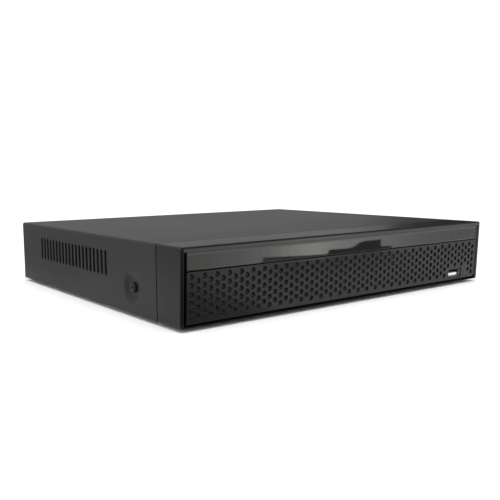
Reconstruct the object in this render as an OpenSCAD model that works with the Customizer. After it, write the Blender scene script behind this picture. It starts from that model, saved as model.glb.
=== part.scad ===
// Compact video recorder: plastic front bezel with a pitted face panel, folded steel cover with side vents,
// sheet tray with a hard disk, a main board with rear sockets, and a cooling fan.
// Millimetres. +Z is up, the front faces -Y, X is centred, and Z is 0 where the feet stand.

/* [Case] */
// Width of the case
case_w = 260; // [256:1:280]
// Depth of the case, from the bezel's top edge to the rear flange
case_d = 227.5; // [226:0.5:245]
// Height of the case, without its feet
case_h = 42.7; // [42:0.1:50]
// Thickness of the folded steel cover
sheet_t = 0.8; // [0.6:0.1:1]
// Radius of the case's long edges
edge_r = 1.5; // [1.2:0.1:2]
// Height of the rubber feet
foot_h = 2; // [1.5:0.5:4]

/* [Front] */
// Depth of the plastic bezel
bezel_d = 25.4; // [22:0.2:30]
// How far the front leans back from its top edge to its bottom edge
front_lean = 1.9; // [0:0.1:2]
// Width of the grey lip around the front
lip_w = 2; // [1.6:0.1:3]
// Width of the shadow groove between the lip and the panels
groove_w = 1.9; // [1:0.1:2.5]
// Height of the pitted face panel
face_h = 27.5; // [24:0.5:28]
// Height of the glossy strip above it
strip_h = 8.9; // [7:0.1:9]
// Number of columns of pits
pit_columns = 62; // [20:2:62]
// Pits in each column
pit_rows = 5; // [1:1:5]
// Distance between columns of pits
pit_step_x = 4.04; // [3.8:0.01:4.05]
// Distance between the pits of one column
pit_step_z = 4.68; // [4.2:0.01:4.7]
// Diameter of a pit
pit_dia = 3.15; // [2.4:0.05:3.3]
// Depth of a pit
pit_depth = 1.8; // [0.5:0.1:2]

/* [Cover] */
// Number of vent slots in each side
vent_count = 20; // [4:1:20]
// Distance between vent slots
vent_step = 5.42; // [4.5:0.01:5.5]
// Width of a vent slot
vent_w = 2.8; // [1.5:0.1:3]
// Height of a vent slot
vent_h = 15.6; // [8:0.1:18]
// Outer diameter of the screw dimple in each side
dimple_dia = 18; // [14:0.5:18]
// Depth of the screw dimple
dimple_depth = 2; // [1.5:0.1:2]

/* [Rear sockets] */
// Length of the camera sockets behind the cover
bnc_reach = 12.5; // [10:0.5:14]
// Columns of camera sockets, two to a column
bnc_columns = 4; // [1:1:4]

/* [Hard disk] */
// Length of the drive
hdd_l = 147; // [140:1:148]
// Width of the drive
hdd_w = 101.6; // [100:0.1:102]
// Height of the drive
hdd_h = 26.1; // [24:0.1:28]

/* [Hidden] */
$fn = 48;

// Overshoot of a cutting shape, so that it leaves no skin
cut = 1;
// Smallest gap between pieces that lie face to face
gap = 0.1;
// Radial clearance of a shaft in its bearing
run_gap = 0.05;

// Planes of the case
half_w = case_w / 2;
front_y = -(case_d + bnc_reach) / 2;
rear_y = front_y + case_d;
base_z = foot_h;
top_z = foot_h + case_h;
mid_z = (base_z + top_z) / 2;
seam_y = front_y + bezel_d;
lean = atan(front_lean / case_h);

// Cover
cover_front_y = seam_y + 0.6;
flange_h = 8;
flange_w = 10;
vent_y = front_y + 86.2;
vent_z = base_z + 18.3;
dimple_y = front_y + 53.8;
dimple_z = base_z + 15.2;
dimple_floor_r = 4.9;
dimple_floor_x = half_w - dimple_depth;

// Tray, set inside the cover's dimples
tray_t = 1;
tray_hw = dimple_floor_x - sheet_t - gap;
tray_y0 = seam_y + 0.4;
tray_floor_z = base_z + tray_t;
flange_z = base_z + 6.4;
nut_path_x = tray_hw - 6.3;

// Rear panel, just inside the cover's rear flange
panel_t = 1;
panel_y1 = rear_y - sheet_t - gap;
panel_y0 = panel_y1 - panel_t;
socket_y = panel_y0 - gap;
tray_y1 = socket_y;
rear_screw_xs = [-90, 0, 90];
rear_screw_z = top_z - 4.4;
rear_panel_screw_xs = [-90, 0, 104];
rear_panel_screw_z = base_z + 3.6;

// M3 fasteners
m3_r = 1.45;
m3_clear_r = 1.7;
m3_head_r = 3;
m3_head_h = 1.9;
m3_recess_r = 1.5;
nut_r = 3.1;
nut_h = 2.4;

// Main board
board_t = 1.6;
board_hw = 118;
board_z = base_z + 7;
board_top = board_z + board_t;
board_y0 = rear_y - 91;
board_y1 = socket_y - 1.2;
standoff_xs = [-113, 0, 113];
standoff_ys = [board_y0 + 6, rear_y - 31];

// Camera sockets
bnc_step = 14;
bnc_x0 = -110;
bnc_z0 = board_top + 6;
bnc_z_step = 13.5;
bnc_body_d = 21.5;
bnc_r = 4.8;
bnc_places = [for (i = [0:bnc_columns - 1]) for (j = [0:1])
    [bnc_x0 + i * bnc_step, bnc_z0 + j * bnc_z_step]];

// Other rear sockets, each at its own place along the panel
rca_x = -54;
rca_zs = [board_top + 6.4, board_top + 19.6];
rca_w = 10;
rca_r = 4.15;
rca_reach = 10.5;
vga_x = -28;
vga_z = board_top + 8;
vga_screw_step = 24.99;
vga_screw_r = 1.42;
hdmi_x = 0;
rear_usb_x = 22;
rear_usb_w = 13.2;
rear_usb_h = 15.6;
rear_usb_zs = [board_top + 4.2, board_top + 11.8];
lan_x = 44;
lan_w = 16;
lan_h = 13.4;
terminal_x = 66;
dc_x = 85;
dc_z = board_top + 6;
ground_x = 85;
ground_z = board_top + 19;
switch_x = 104;
switch_z = board_top + 9.8;
switch_w = 13;
switch_h = 19;
rocker_y = panel_y0 - 1;
rocker_tilt = 12;
rocker_r = 8.3;

// Front board behind the bezel's right end
front_usb_x = half_w - 26.5;
front_usb_z = base_z + 6.6;
usb_w = 13.1;
usb_h = 5.7;
usb_wall = 0.3;
usb_hole_w = 14.5;
usb_hole_h = 6.8;
led_xs = [half_w - 33.5, half_w - 23, half_w - 12.5];
led_z = base_z + 34.4;
ir_x = half_w - 50;
front_board_t = 1.6;
front_board_y = seam_y - 7;
front_board_x0 = half_w - 58;
front_board_x1 = half_w - 6;
front_screw_places = [[front_board_x0 + 5, base_z + 8], [front_board_x1 - 5, base_z + 25]];

// Bezel
bezel_wall = 2;
recess_d = 3.4;
panel_plate_t = 2.6;
web_t = 1.8;
bezel_screw_xs = [-112, -40, 40, 68];
bezel_screw_z = base_z + 13;

// Panels on the front, measured down from its top edge
panel_hw = half_w - lip_w - groove_w;
face_z0 = -case_h + 1.9;
face_z1 = face_z0 + face_h;
strip_z0 = face_z1 + 0.6;

// Hard disk, on embossed pads of the tray
emboss_h = 2.5;
hdd_x0 = -118;
hdd_y0 = tray_y0 + 6.8;
hdd_z0 = tray_floor_z + emboss_h;
hdd_x1 = hdd_x0 + hdd_l;
hdd_mid_y = hdd_y0 + hdd_w / 2;
hdd_top = hdd_z0 + hdd_h;
hdd_lid_t = 2;
hdd_socket_l = 42;
hdd_floor_z = hdd_z0 + 4.4;
spindle_x = hdd_x0 + 50.8;
platter_r = 47.5;
platter_z = hdd_z0 + 12.5;
platter_t = 1.3;
arm_x = spindle_x + 52;
arm_y = hdd_mid_y + 18;
arm_l = 48;
arm_rest = 254.6;
hdd_hole_xs = [hdd_x1 - 41.28, hdd_x1 - 85.73];
hdd_hole_ys = [hdd_mid_y - 47.625, hdd_mid_y + 47.625];

// Processor, heatsink and fan
cpu_x = 55;
cpu_y = rear_y - 62;
cpu_w = 23;
cpu_h = 1.8;
sink_w = 40;
sink_h = 12.5;
sink_z = board_top + cpu_h;
fan_z = sink_z + sink_h + gap;
fan_w = 40;
fan_h = 10;
fan_bore_r = 19;
fan_hub_r = 11;
fan_hub_z = fan_z + 2.2;

// Other parts on the main board
capacitor_places = [[84, 12], [94, 12], [84, 23], [94, 23], [104, 12]];
cell_x = 20;
cell_y = board_y0 + 14;
cell_r = 10;
sata_x = 40;
sata_power_x = -12;
sata_y = board_y0 + 2;

// Feet
foot_r = 8;
foot_places = [[-100, -70], [100, -70], [-100, 85], [100, 85]];

// Extrudes a front-view outline along Y.
module along_y(y0, depth) {
    translate([0, y0 + depth, 0]) rotate([90, 0, 0]) linear_extrude(depth) children();
}

// Extrudes a side-view outline along X.
module along_x(x0, width) {
    translate([x0, 0, 0]) rotate([90, 0, 90]) linear_extrude(width) children();
}

// A cylinder from y0 towards +Y.
module rod_y(x, z, y0, depth, r) {
    translate([x, y0, z]) rotate([-90, 0, 0]) cylinder(h = depth, r = r);
}

// A block given by its lowest and highest corners.
module block(low, high) {
    translate(low) cube(high - low);
}

// An outline with two rounded top corners and straight legs.
module arch(w, z0, z1, r) {
    translate([-w / 2, z0]) square([w, z1 - z0 - r]);
    translate([-w / 2 + r, z0]) square([w - 2 * r, z1 - z0]);
    for (s = [-1, 1]) translate([s * (w / 2 - r), z1 - r]) circle(r);
}

// A rectangle with four rounded corners.
module rounded(w, h, r) {
    square([w - 2 * r, h], center = true);
    square([w, h - 2 * r], center = true);
    for (i = [-1, 1]) for (j = [-1, 1]) translate([i * (w / 2 - r), j * (h / 2 - r)]) circle(r);
}

// A slot with round ends, upright.
module stadium(w, h) {
    square([w, h - w], center = true);
    for (j = [-1, 1]) translate([0, j * (h - w) / 2]) circle(w / 2);
}

// A pan-head screw that points to -Z, with its head's underside at z = 0 and a cross recess.
module screw(length, head_r = m3_head_r, head_h = m3_head_h, shank_r = m3_r) {
    recess_w = 0.7;
    difference() {
        union() {
            cylinder(h = head_h * 0.55, r = head_r);
            translate([0, 0, head_h * 0.55]) cylinder(h = head_h * 0.45, r1 = head_r, r2 = head_r * 0.66);
            translate([0, 0, -length]) cylinder(h = length, r = shank_r);
        }
        for (a = [0, 90]) rotate(a) translate([0, 0, head_h])
            cube([2 * m3_recess_r, recess_w, head_h], center = true);
    }
}

// Places children on the leaning front face: x across, z down from the top edge, y inwards.
module on_front() {
    translate([0, front_y, top_z]) rotate([lean, 0, 0]) children();
}

// Folded sheet tray: floor, low side flanges, front wall, slotted tabs for the cover's side screws.
module chassis_tray() {
    tab_y1 = dimple_y + 7;
    tab_z = base_z + 26;
    wall_z = top_z - 3;
    cable_hole = [12, 8];
    emboss_r = 6.5;
    emboss_top_r = 5;
    vent_xs = [for (i = [0:7]) 44 + i * 9];
    color("silver") difference() {
        union() {
            block([-tray_hw, tray_y0, base_z], [tray_hw, tray_y1, tray_floor_z]);
            block([-tray_hw, tray_y0, base_z], [tray_hw, tray_y0 + tray_t, wall_z]);
            block([-tray_hw, tray_y1 - tray_t, base_z], [tray_hw, tray_y1, flange_z]);
            for (s = [0, 1]) mirror([s, 0, 0]) {
                block([tray_hw - tray_t, tray_y0, base_z], [tray_hw, tray_y1, base_z + 8]);
                block([tray_hw - tray_t, tray_y0, base_z], [tray_hw, tab_y1, tab_z]);
            }
            for (x = hdd_hole_xs) for (y = hdd_hole_ys)
                translate([x, y, base_z])
                    cylinder(h = tray_t + emboss_h, r1 = emboss_r + tray_t, r2 = emboss_top_r);
        }
        // Recesses under the pads, which hold the heads of the drive's screws
        for (x = hdd_hole_xs) for (y = hdd_hole_ys) {
            translate([x, y, base_z - cut]) cylinder(h = cut, r = emboss_r);
            translate([x, y, base_z]) cylinder(h = emboss_h, r1 = emboss_r, r2 = emboss_top_r - tray_t);
            translate([x, y, base_z]) cylinder(h = tray_t + emboss_h + cut, r = m3_clear_r);
        }
        // Slots open to the rear, which let the side screws slide out with the cover
        for (s = [0, 1]) mirror([s, 0, 0]) along_x(tray_hw - tray_t - cut, tray_t + 2 * cut) {
            translate([dimple_y, dimple_z]) circle(m3_clear_r);
            translate([dimple_y, dimple_z - m3_clear_r]) square([20, 2 * m3_clear_r]);
        }
        // Holes for the bezel's screws, the rear panel's screws and the front cable
        for (x = bezel_screw_xs) rod_y(x, bezel_screw_z, tray_y0 - cut, tray_t + 2 * cut, m3_clear_r);
        for (x = rear_panel_screw_xs) rod_y(x, rear_panel_screw_z, tray_y1 - 2 * tray_t, 4 * tray_t, m3_r);
        along_y(tray_y0 - cut, tray_t + 2 * cut) translate([front_board_x0 + 20, base_z + 14])
            square(cable_hole, center = true);
        for (x = vent_xs) linear_extrude(tray_floor_z + cut) translate([x, -38]) stadium(3, 46);
    }
}

// Rear panel with a cut-out for each socket.
module rear_panel() {
    notch_hh = 4.4;
    notch_w = 30;
    play = 0.4;
    color("silver") difference() {
        along_y(panel_y0, panel_t) arch(2 * tray_hw, base_z + 0.3, top_z - sheet_t - gap, edge_r);
        for (s = [-1, 1]) translate([s * (nut_path_x + notch_w / 2), panel_y0, dimple_z])
            cube([notch_w, 4 * panel_t, 2 * notch_hh], center = true);
        for (p = bnc_places) rod_y(p[0], p[1], panel_y0 - cut, panel_t + 2 * cut, 6.3);
        for (z = rca_zs) rod_y(rca_x, z, panel_y0 - cut, panel_t + 2 * cut, 5.2);
        along_y(panel_y0 - cut, panel_t + 2 * cut) {
            translate([vga_x, vga_z]) vga_outline(play);
            for (s = [-1, 1]) translate([vga_x + s * vga_screw_step / 2, vga_z]) circle(1.9);
            translate([hdmi_x, board_top + 3.3]) square([15.8, 6.6], center = true);
            translate([rear_usb_x, board_top + rear_usb_h / 2])
                square([rear_usb_w + 2 * play, rear_usb_h + 2 * play], center = true);
            translate([lan_x, board_top + lan_h / 2])
                square([lan_w + 2 * play, lan_h + 2 * play], center = true);
            translate([terminal_x, board_top + 5]) square([16.2, 10.8], center = true);
            translate([switch_x, switch_z]) square([switch_w + play, switch_h + play], center = true);
            for (x = rear_screw_xs) translate([x, rear_screw_z]) circle(m3_clear_r);
            for (x = rear_panel_screw_xs) translate([x, rear_panel_screw_z]) circle(m3_clear_r);
        }
        rod_y(dc_x, dc_z, panel_y0 - cut, panel_t + 2 * cut, 4.3);
        rod_y(ground_x, ground_z, panel_y0 - cut, panel_t + 2 * cut, m3_r);
    }
}

// Cover folded from one sheet: top, two sides with vents and screw dimples, and a rear flange.
module top_cover() {
    depth = rear_y - cover_front_y;
    leg_z = base_z + 0.2;
    color("dimgray") difference() {
        union() {
            difference() {
                along_y(cover_front_y, depth) arch(case_w, leg_z, top_z, edge_r);
                along_y(cover_front_y - cut, depth - sheet_t + cut)
                    arch(case_w - 2 * sheet_t, leg_z - cut, top_z - sheet_t, edge_r - sheet_t);
                along_y(rear_y - 2 * sheet_t, 4 * sheet_t)
                    translate([-half_w + flange_w, leg_z - cut])
                        square([case_w - 2 * flange_w, case_h - flange_h + cut]);
            }
            for (s = [0, 1]) mirror([s, 0, 0]) translate([dimple_floor_x - sheet_t, dimple_y, dimple_z])
                rotate([0, 90, 0]) cylinder(h = dimple_depth + sheet_t / 2,
                    r1 = dimple_floor_r + sheet_t / 2, r2 = dimple_dia / 2 + sheet_t / 2);
        }
        for (s = [0, 1]) mirror([s, 0, 0]) {
            translate([dimple_floor_x, dimple_y, dimple_z]) rotate([0, 90, 0])
                cylinder(h = dimple_depth, r1 = dimple_floor_r, r2 = dimple_dia / 2);
            translate([half_w, dimple_y, dimple_z]) rotate([0, 90, 0]) cylinder(h = cut, r = dimple_dia / 2);
            translate([dimple_floor_x - 2 * sheet_t, dimple_y, dimple_z]) rotate([0, 90, 0])
                cylinder(h = 4 * sheet_t, r = m3_clear_r);
        }
        along_x(-half_w - cut, case_w + 2 * cut) for (i = [0:vent_count - 1])
            translate([vent_y + i * vent_step, vent_z + vent_h / 2]) stadium(vent_w, vent_h);
        for (x = rear_screw_xs) rod_y(x, rear_screw_z, rear_y - 2 * sheet_t, 4 * sheet_t, m3_clear_r);
    }
}

// The bezel's outer shape, with its leaning front.
module bezel_shape() {
    intersection() {
        along_y(front_y, bezel_d) translate([0, mid_z]) rounded(case_w, case_h, edge_r);
        along_x(-half_w, case_w) polygon([[front_y, top_z], [seam_y, top_z], [seam_y, base_z],
            [front_y + front_lean, base_z]]);
    }
}

// The space inside the bezel, behind its web.
module bezel_cavity() {
    along_y(front_y + front_lean + recess_d + web_t, bezel_d) translate([0, mid_z])
        rounded(case_w - 2 * bezel_wall, case_h - 2 * bezel_wall, edge_r / 2);
}

// Plastic bezel: a shell open to the rear, with a web behind the panels, and bosses for its screws.
module front_bezel() {
    boss_r = 3.6;
    boss_y0 = front_y + recess_d + web_t + 1;
    color("dimgray") difference() {
        union() {
            difference() {
                bezel_shape();
                bezel_cavity();
            }
            for (x = bezel_screw_xs) rod_y(x, bezel_screw_z, boss_y0, tray_y0 - boss_y0, boss_r);
            for (p = front_screw_places) rod_y(p[0], p[1], boss_y0, front_board_y - boss_y0, 3);
        }
        // Recess of the two panels
        on_front() block([-half_w + lip_w, -cut, -case_h + 0.8], [half_w - lip_w, recess_d, -2.7]);
        // Windows for the front socket, the lights and the remote control's receiver
        along_y(front_y - cut, 10) {
            translate([front_usb_x, front_usb_z]) square([usb_hole_w + gap, usb_hole_h + gap], center = true);
            for (x = led_xs) translate([x, led_z]) square([4.4, 3.4], center = true);
            translate([ir_x, led_z]) square([8, 5], center = true);
        }
        for (x = bezel_screw_xs) rod_y(x, bezel_screw_z, tray_y0 - 9, 10, m3_r);
        for (p = front_screw_places) rod_y(p[0], p[1], front_board_y - 6, 7, m3_r);
    }
}

// Face panel: a plate with a staggered field of blind round pits, and a hole for the front socket.
module face_panel() {
    pit_y = recess_d - panel_plate_t + pit_depth;
    x0 = -(pit_columns - 1) * pit_step_x / 2;
    z_top = face_z0 + 24.8;
    usb_z = front_usb_z - top_z;
    clear_x = 12.4;
    clear_z = 5.9;
    color("#3c3a36") difference() {
        on_front() block([-panel_hw, recess_d - panel_plate_t, face_z0], [panel_hw, recess_d, face_z1]);
        on_front() for (i = [0:pit_columns - 1]) for (j = [0:pit_rows - 1]) {
            x = x0 + i * pit_step_x;
            z = z_top - j * pit_step_z - (i % 2) * pit_step_z / 2;
            if (abs(x - front_usb_x) > clear_x || z - usb_z > clear_z)
                translate([x, pit_y, z]) rotate([90, 0, 0])
                    cylinder(h = 2 * pit_depth, r = pit_dia / 2, $fn = 24);
        }
        along_y(front_y - cut, 12) translate([front_usb_x, front_usb_z])
            square([usb_hole_w, usb_hole_h], center = true);
    }
}

// Glossy strip above the face panel.
module gloss_strip() {
    color("gray") on_front()
        block([-panel_hw, recess_d - panel_plate_t, strip_z0], [panel_hw, recess_d, strip_z0 + strip_h]);
}

// Clear bars that carry the lamps' light to the strip.
module light_pipes() {
    pipe_y0 = front_y + recess_d + 0.6;
    color("white") for (x = led_xs)
        block([x - 1.8, pipe_y0, led_z - 1.3], [x + 1.8, front_board_y - 2.2, led_z + 1.3]);
}

// Small upright board behind the bezel.
module front_board() {
    color("darkgreen") difference() {
        block([front_board_x0, front_board_y, base_z + 3],
            [front_board_x1, front_board_y + front_board_t, top_z - 3.4]);
        for (p = front_screw_places)
            rod_y(p[0], p[1], front_board_y - cut, front_board_t + 2 * cut, m3_clear_r);
    }
}

// Three lamps on the front board.
module front_leds() {
    color("white") for (x = led_xs)
        block([x - 1.6, front_board_y - 2, led_z - 1.2], [x + 1.6, front_board_y, led_z + 1.2]);
}

// Domed receiver for a remote control.
module ir_receiver() {
    color("black") {
        block([ir_x - 3, front_board_y - 4, led_z - 3.4], [ir_x + 3, front_board_y, led_z + 3.4]);
        translate([ir_x, front_board_y - 4, led_z]) intersection() {
            sphere(2.4);
            translate([0, -3, 0]) cube([6, 6, 6], center = true);
        }
    }
}

// Folded metal shell of the front socket.
module front_usb_shell() {
    shell_y0 = front_y + front_lean + 1.2;
    color("lightgray") difference() {
        along_y(shell_y0, front_board_y - shell_y0) translate([front_usb_x, front_usb_z])
            square([usb_w, usb_h], center = true);
        along_y(shell_y0 - cut, front_board_y - shell_y0) translate([front_usb_x, front_usb_z])
            square([usb_w - 2 * usb_wall, usb_h - 2 * usb_wall], center = true);
    }
}

// White tongue of the front socket, low in its mouth.
module front_usb_tongue() {
    tongue_y0 = front_y + front_lean + 2.7;
    z0 = front_usb_z - usb_h / 2 + 0.75;
    color("white")
        block([front_usb_x - 5.5, tongue_y0, z0], [front_usb_x + 5.5, front_board_y - 1, z0 + 1.9]);
}

// Screws that hold the front board to the bezel's bosses.
module front_board_screws() {
    color("silver") for (p = front_screw_places)
        translate([p[0], front_board_y + front_board_t, p[1]]) rotate([-90, 0, 0]) screw(6.5);
}

// Screws through the tray's front wall into the bezel.
module bezel_screws() {
    color("silver") for (x = bezel_screw_xs)
        translate([x, tray_y0 + tray_t, bezel_screw_z]) rotate([-90, 0, 0]) screw(9);
}

// Rubber feet.
module feet() {
    color("#202020") for (p = foot_places) translate([p[0], p[1], 0])
        cylinder(h = foot_h, r1 = foot_r - 0.8, r2 = foot_r);
}

// Screws that hold the cover: three in the rear flange and one in each side's dimple.
module cover_screws() {
    color("#151515") {
        for (x = rear_screw_xs) translate([x, rear_y, rear_screw_z]) rotate([-90, 0, 0]) screw(5);
        for (s = [0, 1]) mirror([s, 0, 0])
            translate([dimple_floor_x, dimple_y, dimple_z]) rotate([0, 90, 0]) screw(6);
    }
}

// Square clip nuts on the side screws, inside the tray's tabs.
module side_screw_nuts() {
    color("gray") for (s = [0, 1]) mirror([s, 0, 0])
        translate([tray_hw - tray_t - gap - nut_h, dimple_y, dimple_z]) rotate([0, 90, 0]) difference() {
            cylinder(h = nut_h, r = nut_r, $fn = 6);
            translate([0, 0, -cut]) cylinder(h = nut_h + 2 * cut, r = m3_r + 0.01);
        }
}

// Screws that hold the rear panel to the tray.
module rear_panel_screws() {
    color("silver") for (x = rear_panel_screw_xs)
        translate([x, panel_y1, rear_panel_screw_z]) rotate([-90, 0, 0]) screw(5, 2.6, 1.6);
}

// Main board with holes for its screws.
module main_board() {
    color("darkgreen") difference() {
        block([-board_hw, board_y0, board_z], [board_hw, board_y1, board_top]);
        for (x = standoff_xs) for (y = standoff_ys)
            translate([x, y, board_z - cut]) cylinder(h = board_t + 2 * cut, r = m3_clear_r);
    }
}

// Brass standoffs under the main board.
module board_standoffs() {
    color("goldenrod") for (x = standoff_xs) for (y = standoff_ys)
        translate([x, y, tray_floor_z]) difference() {
            cylinder(h = board_z - tray_floor_z, r = 3, $fn = 6);
            translate([0, 0, cut]) cylinder(h = board_z, r = m3_r);
        }
}

// Screws in the standoffs.
module board_screws() {
    color("silver") for (x = standoff_xs) for (y = standoff_ys) translate([x, y, board_top]) screw(5.4);
}

// Processor, a square chip with a lid, under the heatsink.
module processor() {
    lid_w = cpu_w - 5;
    color("#303030") {
        translate([cpu_x - cpu_w / 2, cpu_y - cpu_w / 2, board_top]) cube([cpu_w, cpu_w, cpu_h / 2]);
        translate([cpu_x - lid_w / 2, cpu_y - lid_w / 2, board_top + cpu_h / 2])
            cube([lid_w, lid_w, cpu_h / 2]);
    }
}

// Finned aluminium heatsink.
module heatsink() {
    base_h = 2.5;
    fins = 10;
    fin_t = 1;
    fin_step = (sink_w - fin_t) / (fins - 1);
    color("silver") translate([cpu_x - sink_w / 2, cpu_y - sink_w / 2, sink_z]) {
        cube([sink_w, sink_w, base_h]);
        for (i = [0:fins - 1]) translate([i * fin_step, 0, 0]) cube([fin_t, sink_w, sink_h]);
    }
}

// Memory and video chips on the main board: x and y from the board's front left corner, then width and depth.
module board_chips() {
    chip_h = 1.4;
    video_chips = [for (i = [0:3]) [14 + i * 18, 40, 12, 12]];
    memory_chips = [for (i = [0:1]) [134, 28 + i * 16, 9, 13]];
    other_chips = [[214, 31, 10, 10], [196, 44, 8, 6], [110, 30, 14, 9]];
    color("#202020") for (c = concat(video_chips, memory_chips, other_chips))
        translate([c[0] - board_hw, board_y0 + c[1], board_top]) cube([c[2], c[3], chip_h]);
}

// Electrolytic capacitors near the power inlet.
module capacitors() {
    can_h = 10;
    can_r = 4;
    color("#28324a") for (p = capacitor_places)
        translate([p[0], board_y0 + p[1], board_top]) cylinder(h = can_h, r = can_r);
}

// Holder of the clock's coin cell.
module coin_cell_holder() {
    color("#181818") translate([cell_x, cell_y, board_top]) difference() {
        cylinder(h = 4.4, r = cell_r + 1.6);
        translate([0, 0, 1.2]) cylinder(h = 4.4, r = cell_r + 0.1);
        translate([0, cell_r, 4.4]) cube([8, 8, 4.4], center = true);
    }
}

// Coin cell.
module coin_cell() {
    color("lightgray") translate([cell_x, cell_y, board_top + 1.2]) cylinder(h = 3.2, r = cell_r);
}

// Drive sockets on the main board: data, and a four-pin power header.
module sata_sockets() {
    wall = 1.2;
    color("#202020") {
        translate([sata_x - 8, sata_y, board_top]) difference() {
            cube([16, 6, 8]);
            translate([wall, wall, 2]) cube([16 - 2 * wall, 6 - 2 * wall, 8]);
        }
        translate([sata_power_x - 6, sata_y, board_top]) difference() {
            cube([12, 6, 8]);
            translate([wall, wall, 2]) cube([12 - 2 * wall, 6 - 2 * wall, 8]);
        }
    }
}

// Moulded bodies of the camera sockets, one for each column.
module bnc_bodies() {
    body_w = 12.8;
    color("#202020") for (i = [0:bnc_columns - 1])
        block([bnc_x0 + i * bnc_step - body_w / 2, socket_y - bnc_body_d, board_top],
            [bnc_x0 + i * bnc_step + body_w / 2, socket_y, bnc_z0 + bnc_z_step + 6.4]);
}

// Barrels of the camera sockets, each with its flange and its two locking studs.
module bnc_barrels() {
    bore_r = 4.05;
    flange_r = 6;
    barrel_l = rear_y + bnc_reach - socket_y;
    stud_r = 0.95;
    stud_span = 11.4;
    stud_y = rear_y + bnc_reach - 5.2 - stud_r;
    color("silver") for (p = bnc_places) difference() {
        union() {
            rod_y(p[0], p[1], socket_y, barrel_l, bnc_r);
            rod_y(p[0], p[1], socket_y, stud_y + stud_r - socket_y, bnc_r + 0.2);
            rod_y(p[0], p[1], socket_y, panel_t + 1.2, flange_r);
            translate([p[0], stud_y, p[1]]) rotate([0, 90, 0])
                cylinder(h = stud_span, r = stud_r, center = true);
        }
        rod_y(p[0], p[1], socket_y - cut, barrel_l + 2 * cut, bore_r);
    }
}

// Insulators in the barrels.
module bnc_insulators() {
    insulator_l = rear_y + bnc_reach - 2 - socket_y;
    color("ivory") for (p = bnc_places) difference() {
        union() {
            rod_y(p[0], p[1], socket_y, 2, 4.05);
            rod_y(p[0], p[1], socket_y, insulator_l, 2.4);
        }
        rod_y(p[0], p[1], socket_y - cut, insulator_l + 2 * cut, 1.1);
    }
}

// Hollow centre contacts.
module bnc_contacts() {
    contact_l = rear_y + bnc_reach - 2.4 - socket_y;
    color("gold") for (p = bnc_places) difference() {
        rod_y(p[0], p[1], socket_y, contact_l, 1.1);
        rod_y(p[0], p[1], socket_y + 4, contact_l, 0.7);
    }
}

// Body of the two sound sockets, with a plastic boss and a centre insulator for each.
module rca_body() {
    color("#202020") difference() {
        union() {
            block([rca_x - rca_w / 2, socket_y - 14, board_top],
                [rca_x + rca_w / 2, socket_y, board_top + 25.6]);
            for (z = rca_zs) {
                rod_y(rca_x, z, socket_y - cut, panel_t + 1 + cut, 5);
                rod_y(rca_x, z, socket_y - cut, 9 + cut, 2.6);
            }
        }
        for (z = rca_zs) rod_y(rca_x, z, socket_y, 10, 1.6);
    }
}

// Metal rings of the sound sockets.
module rca_barrels() {
    color("silver") for (z = rca_zs) difference() {
        rod_y(rca_x, z, socket_y + panel_t + 1, rca_reach - panel_t - 1, rca_r);
        rod_y(rca_x, z, socket_y, rca_reach + cut, 3.5);
    }
}

// Outline of the monitor socket's shell, with its sloping ends.
module vga_outline(grow) {
    top_hw = 8.6 + grow;
    low_hw = 7.2 + grow;
    hh = 4.1 + grow;
    polygon([[-top_hw, hh], [top_hw, hh], [low_hw, -hh], [-low_hw, -hh]]);
}

// Monitor socket: a body behind the panel, a D-shaped shell and an insert with three rows of contacts.
module vga_socket() {
    shell_t = 0.5;
    pin_step = 2.29;
    color("#33507a") {
        block([vga_x - 15.4, socket_y - 12, board_top], [vga_x + 15.4, socket_y, vga_z + 6.3]);
        along_y(socket_y, 7.2) translate([vga_x, vga_z]) difference() {
            vga_outline(0);
            vga_outline(-shell_t);
        }
        difference() {
            along_y(socket_y, 6) translate([vga_x, vga_z]) vga_outline(-shell_t - gap);
            for (j = [-1:1]) for (i = [-2:2])
                rod_y(vga_x + i * pin_step + j * pin_step / 3, vga_z + j * 1.98, socket_y + 2, 6, 0.55);
        }
    }
}

// Threaded hexagonal posts beside the monitor socket.
module vga_nuts() {
    post_l = 5.6;
    color("silver") for (s = [-1, 1])
        translate([vga_x + s * vga_screw_step / 2, panel_y1, vga_z]) rotate([-90, 0, 0]) difference() {
            union() {
                cylinder(h = post_l, r = 2.75, $fn = 6);
                translate([0, 0, -panel_t]) cylinder(h = panel_t + cut, r = 1.85);
            }
            cylinder(h = post_l + cut, r = vga_screw_r);
        }
}

// Digital video socket with its tongue.
module hdmi_socket() {
    z = board_top + 3.3;
    color("silver") {
        difference() {
            along_y(socket_y - 10, 12) translate([hdmi_x, z]) square([15.2, 6], center = true);
            along_y(socket_y - 6, 12) translate([hdmi_x, z]) square([14.4, 5.2], center = true);
        }
        block([hdmi_x - 6, socket_y - 6, z - 0.5], [hdmi_x + 6, socket_y + 1, z + 0.5]);
    }
}

// Network socket with a stepped mouth.
module lan_socket() {
    mouth_d = 15;
    socket_d = 21.1;
    face_y = socket_y + 1.6;
    color("silver") difference() {
        block([lan_x - lan_w / 2, face_y - socket_d, board_top],
            [lan_x + lan_w / 2, face_y, board_top + lan_h]);
        block([lan_x - 6, face_y - mouth_d, board_top + 2.6], [lan_x + 6, face_y + cut, board_top + 9.4]);
        block([lan_x - 3.2, face_y - mouth_d, board_top + 1.2], [lan_x + 3.2, face_y + cut, board_top + 2.7]);
    }
}

// Shell of the stacked pair of rear data sockets.
module rear_usb_shell() {
    color("lightgray") difference() {
        block([rear_usb_x - rear_usb_w / 2, socket_y - 15, board_top],
            [rear_usb_x + rear_usb_w / 2, socket_y + 1.8, board_top + rear_usb_h]);
        for (z = rear_usb_zs)
            block([rear_usb_x - 6.2, socket_y - 10, z - 2.6], [rear_usb_x + 6.2, socket_y + 3, z + 2.6]);
    }
}

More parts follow.
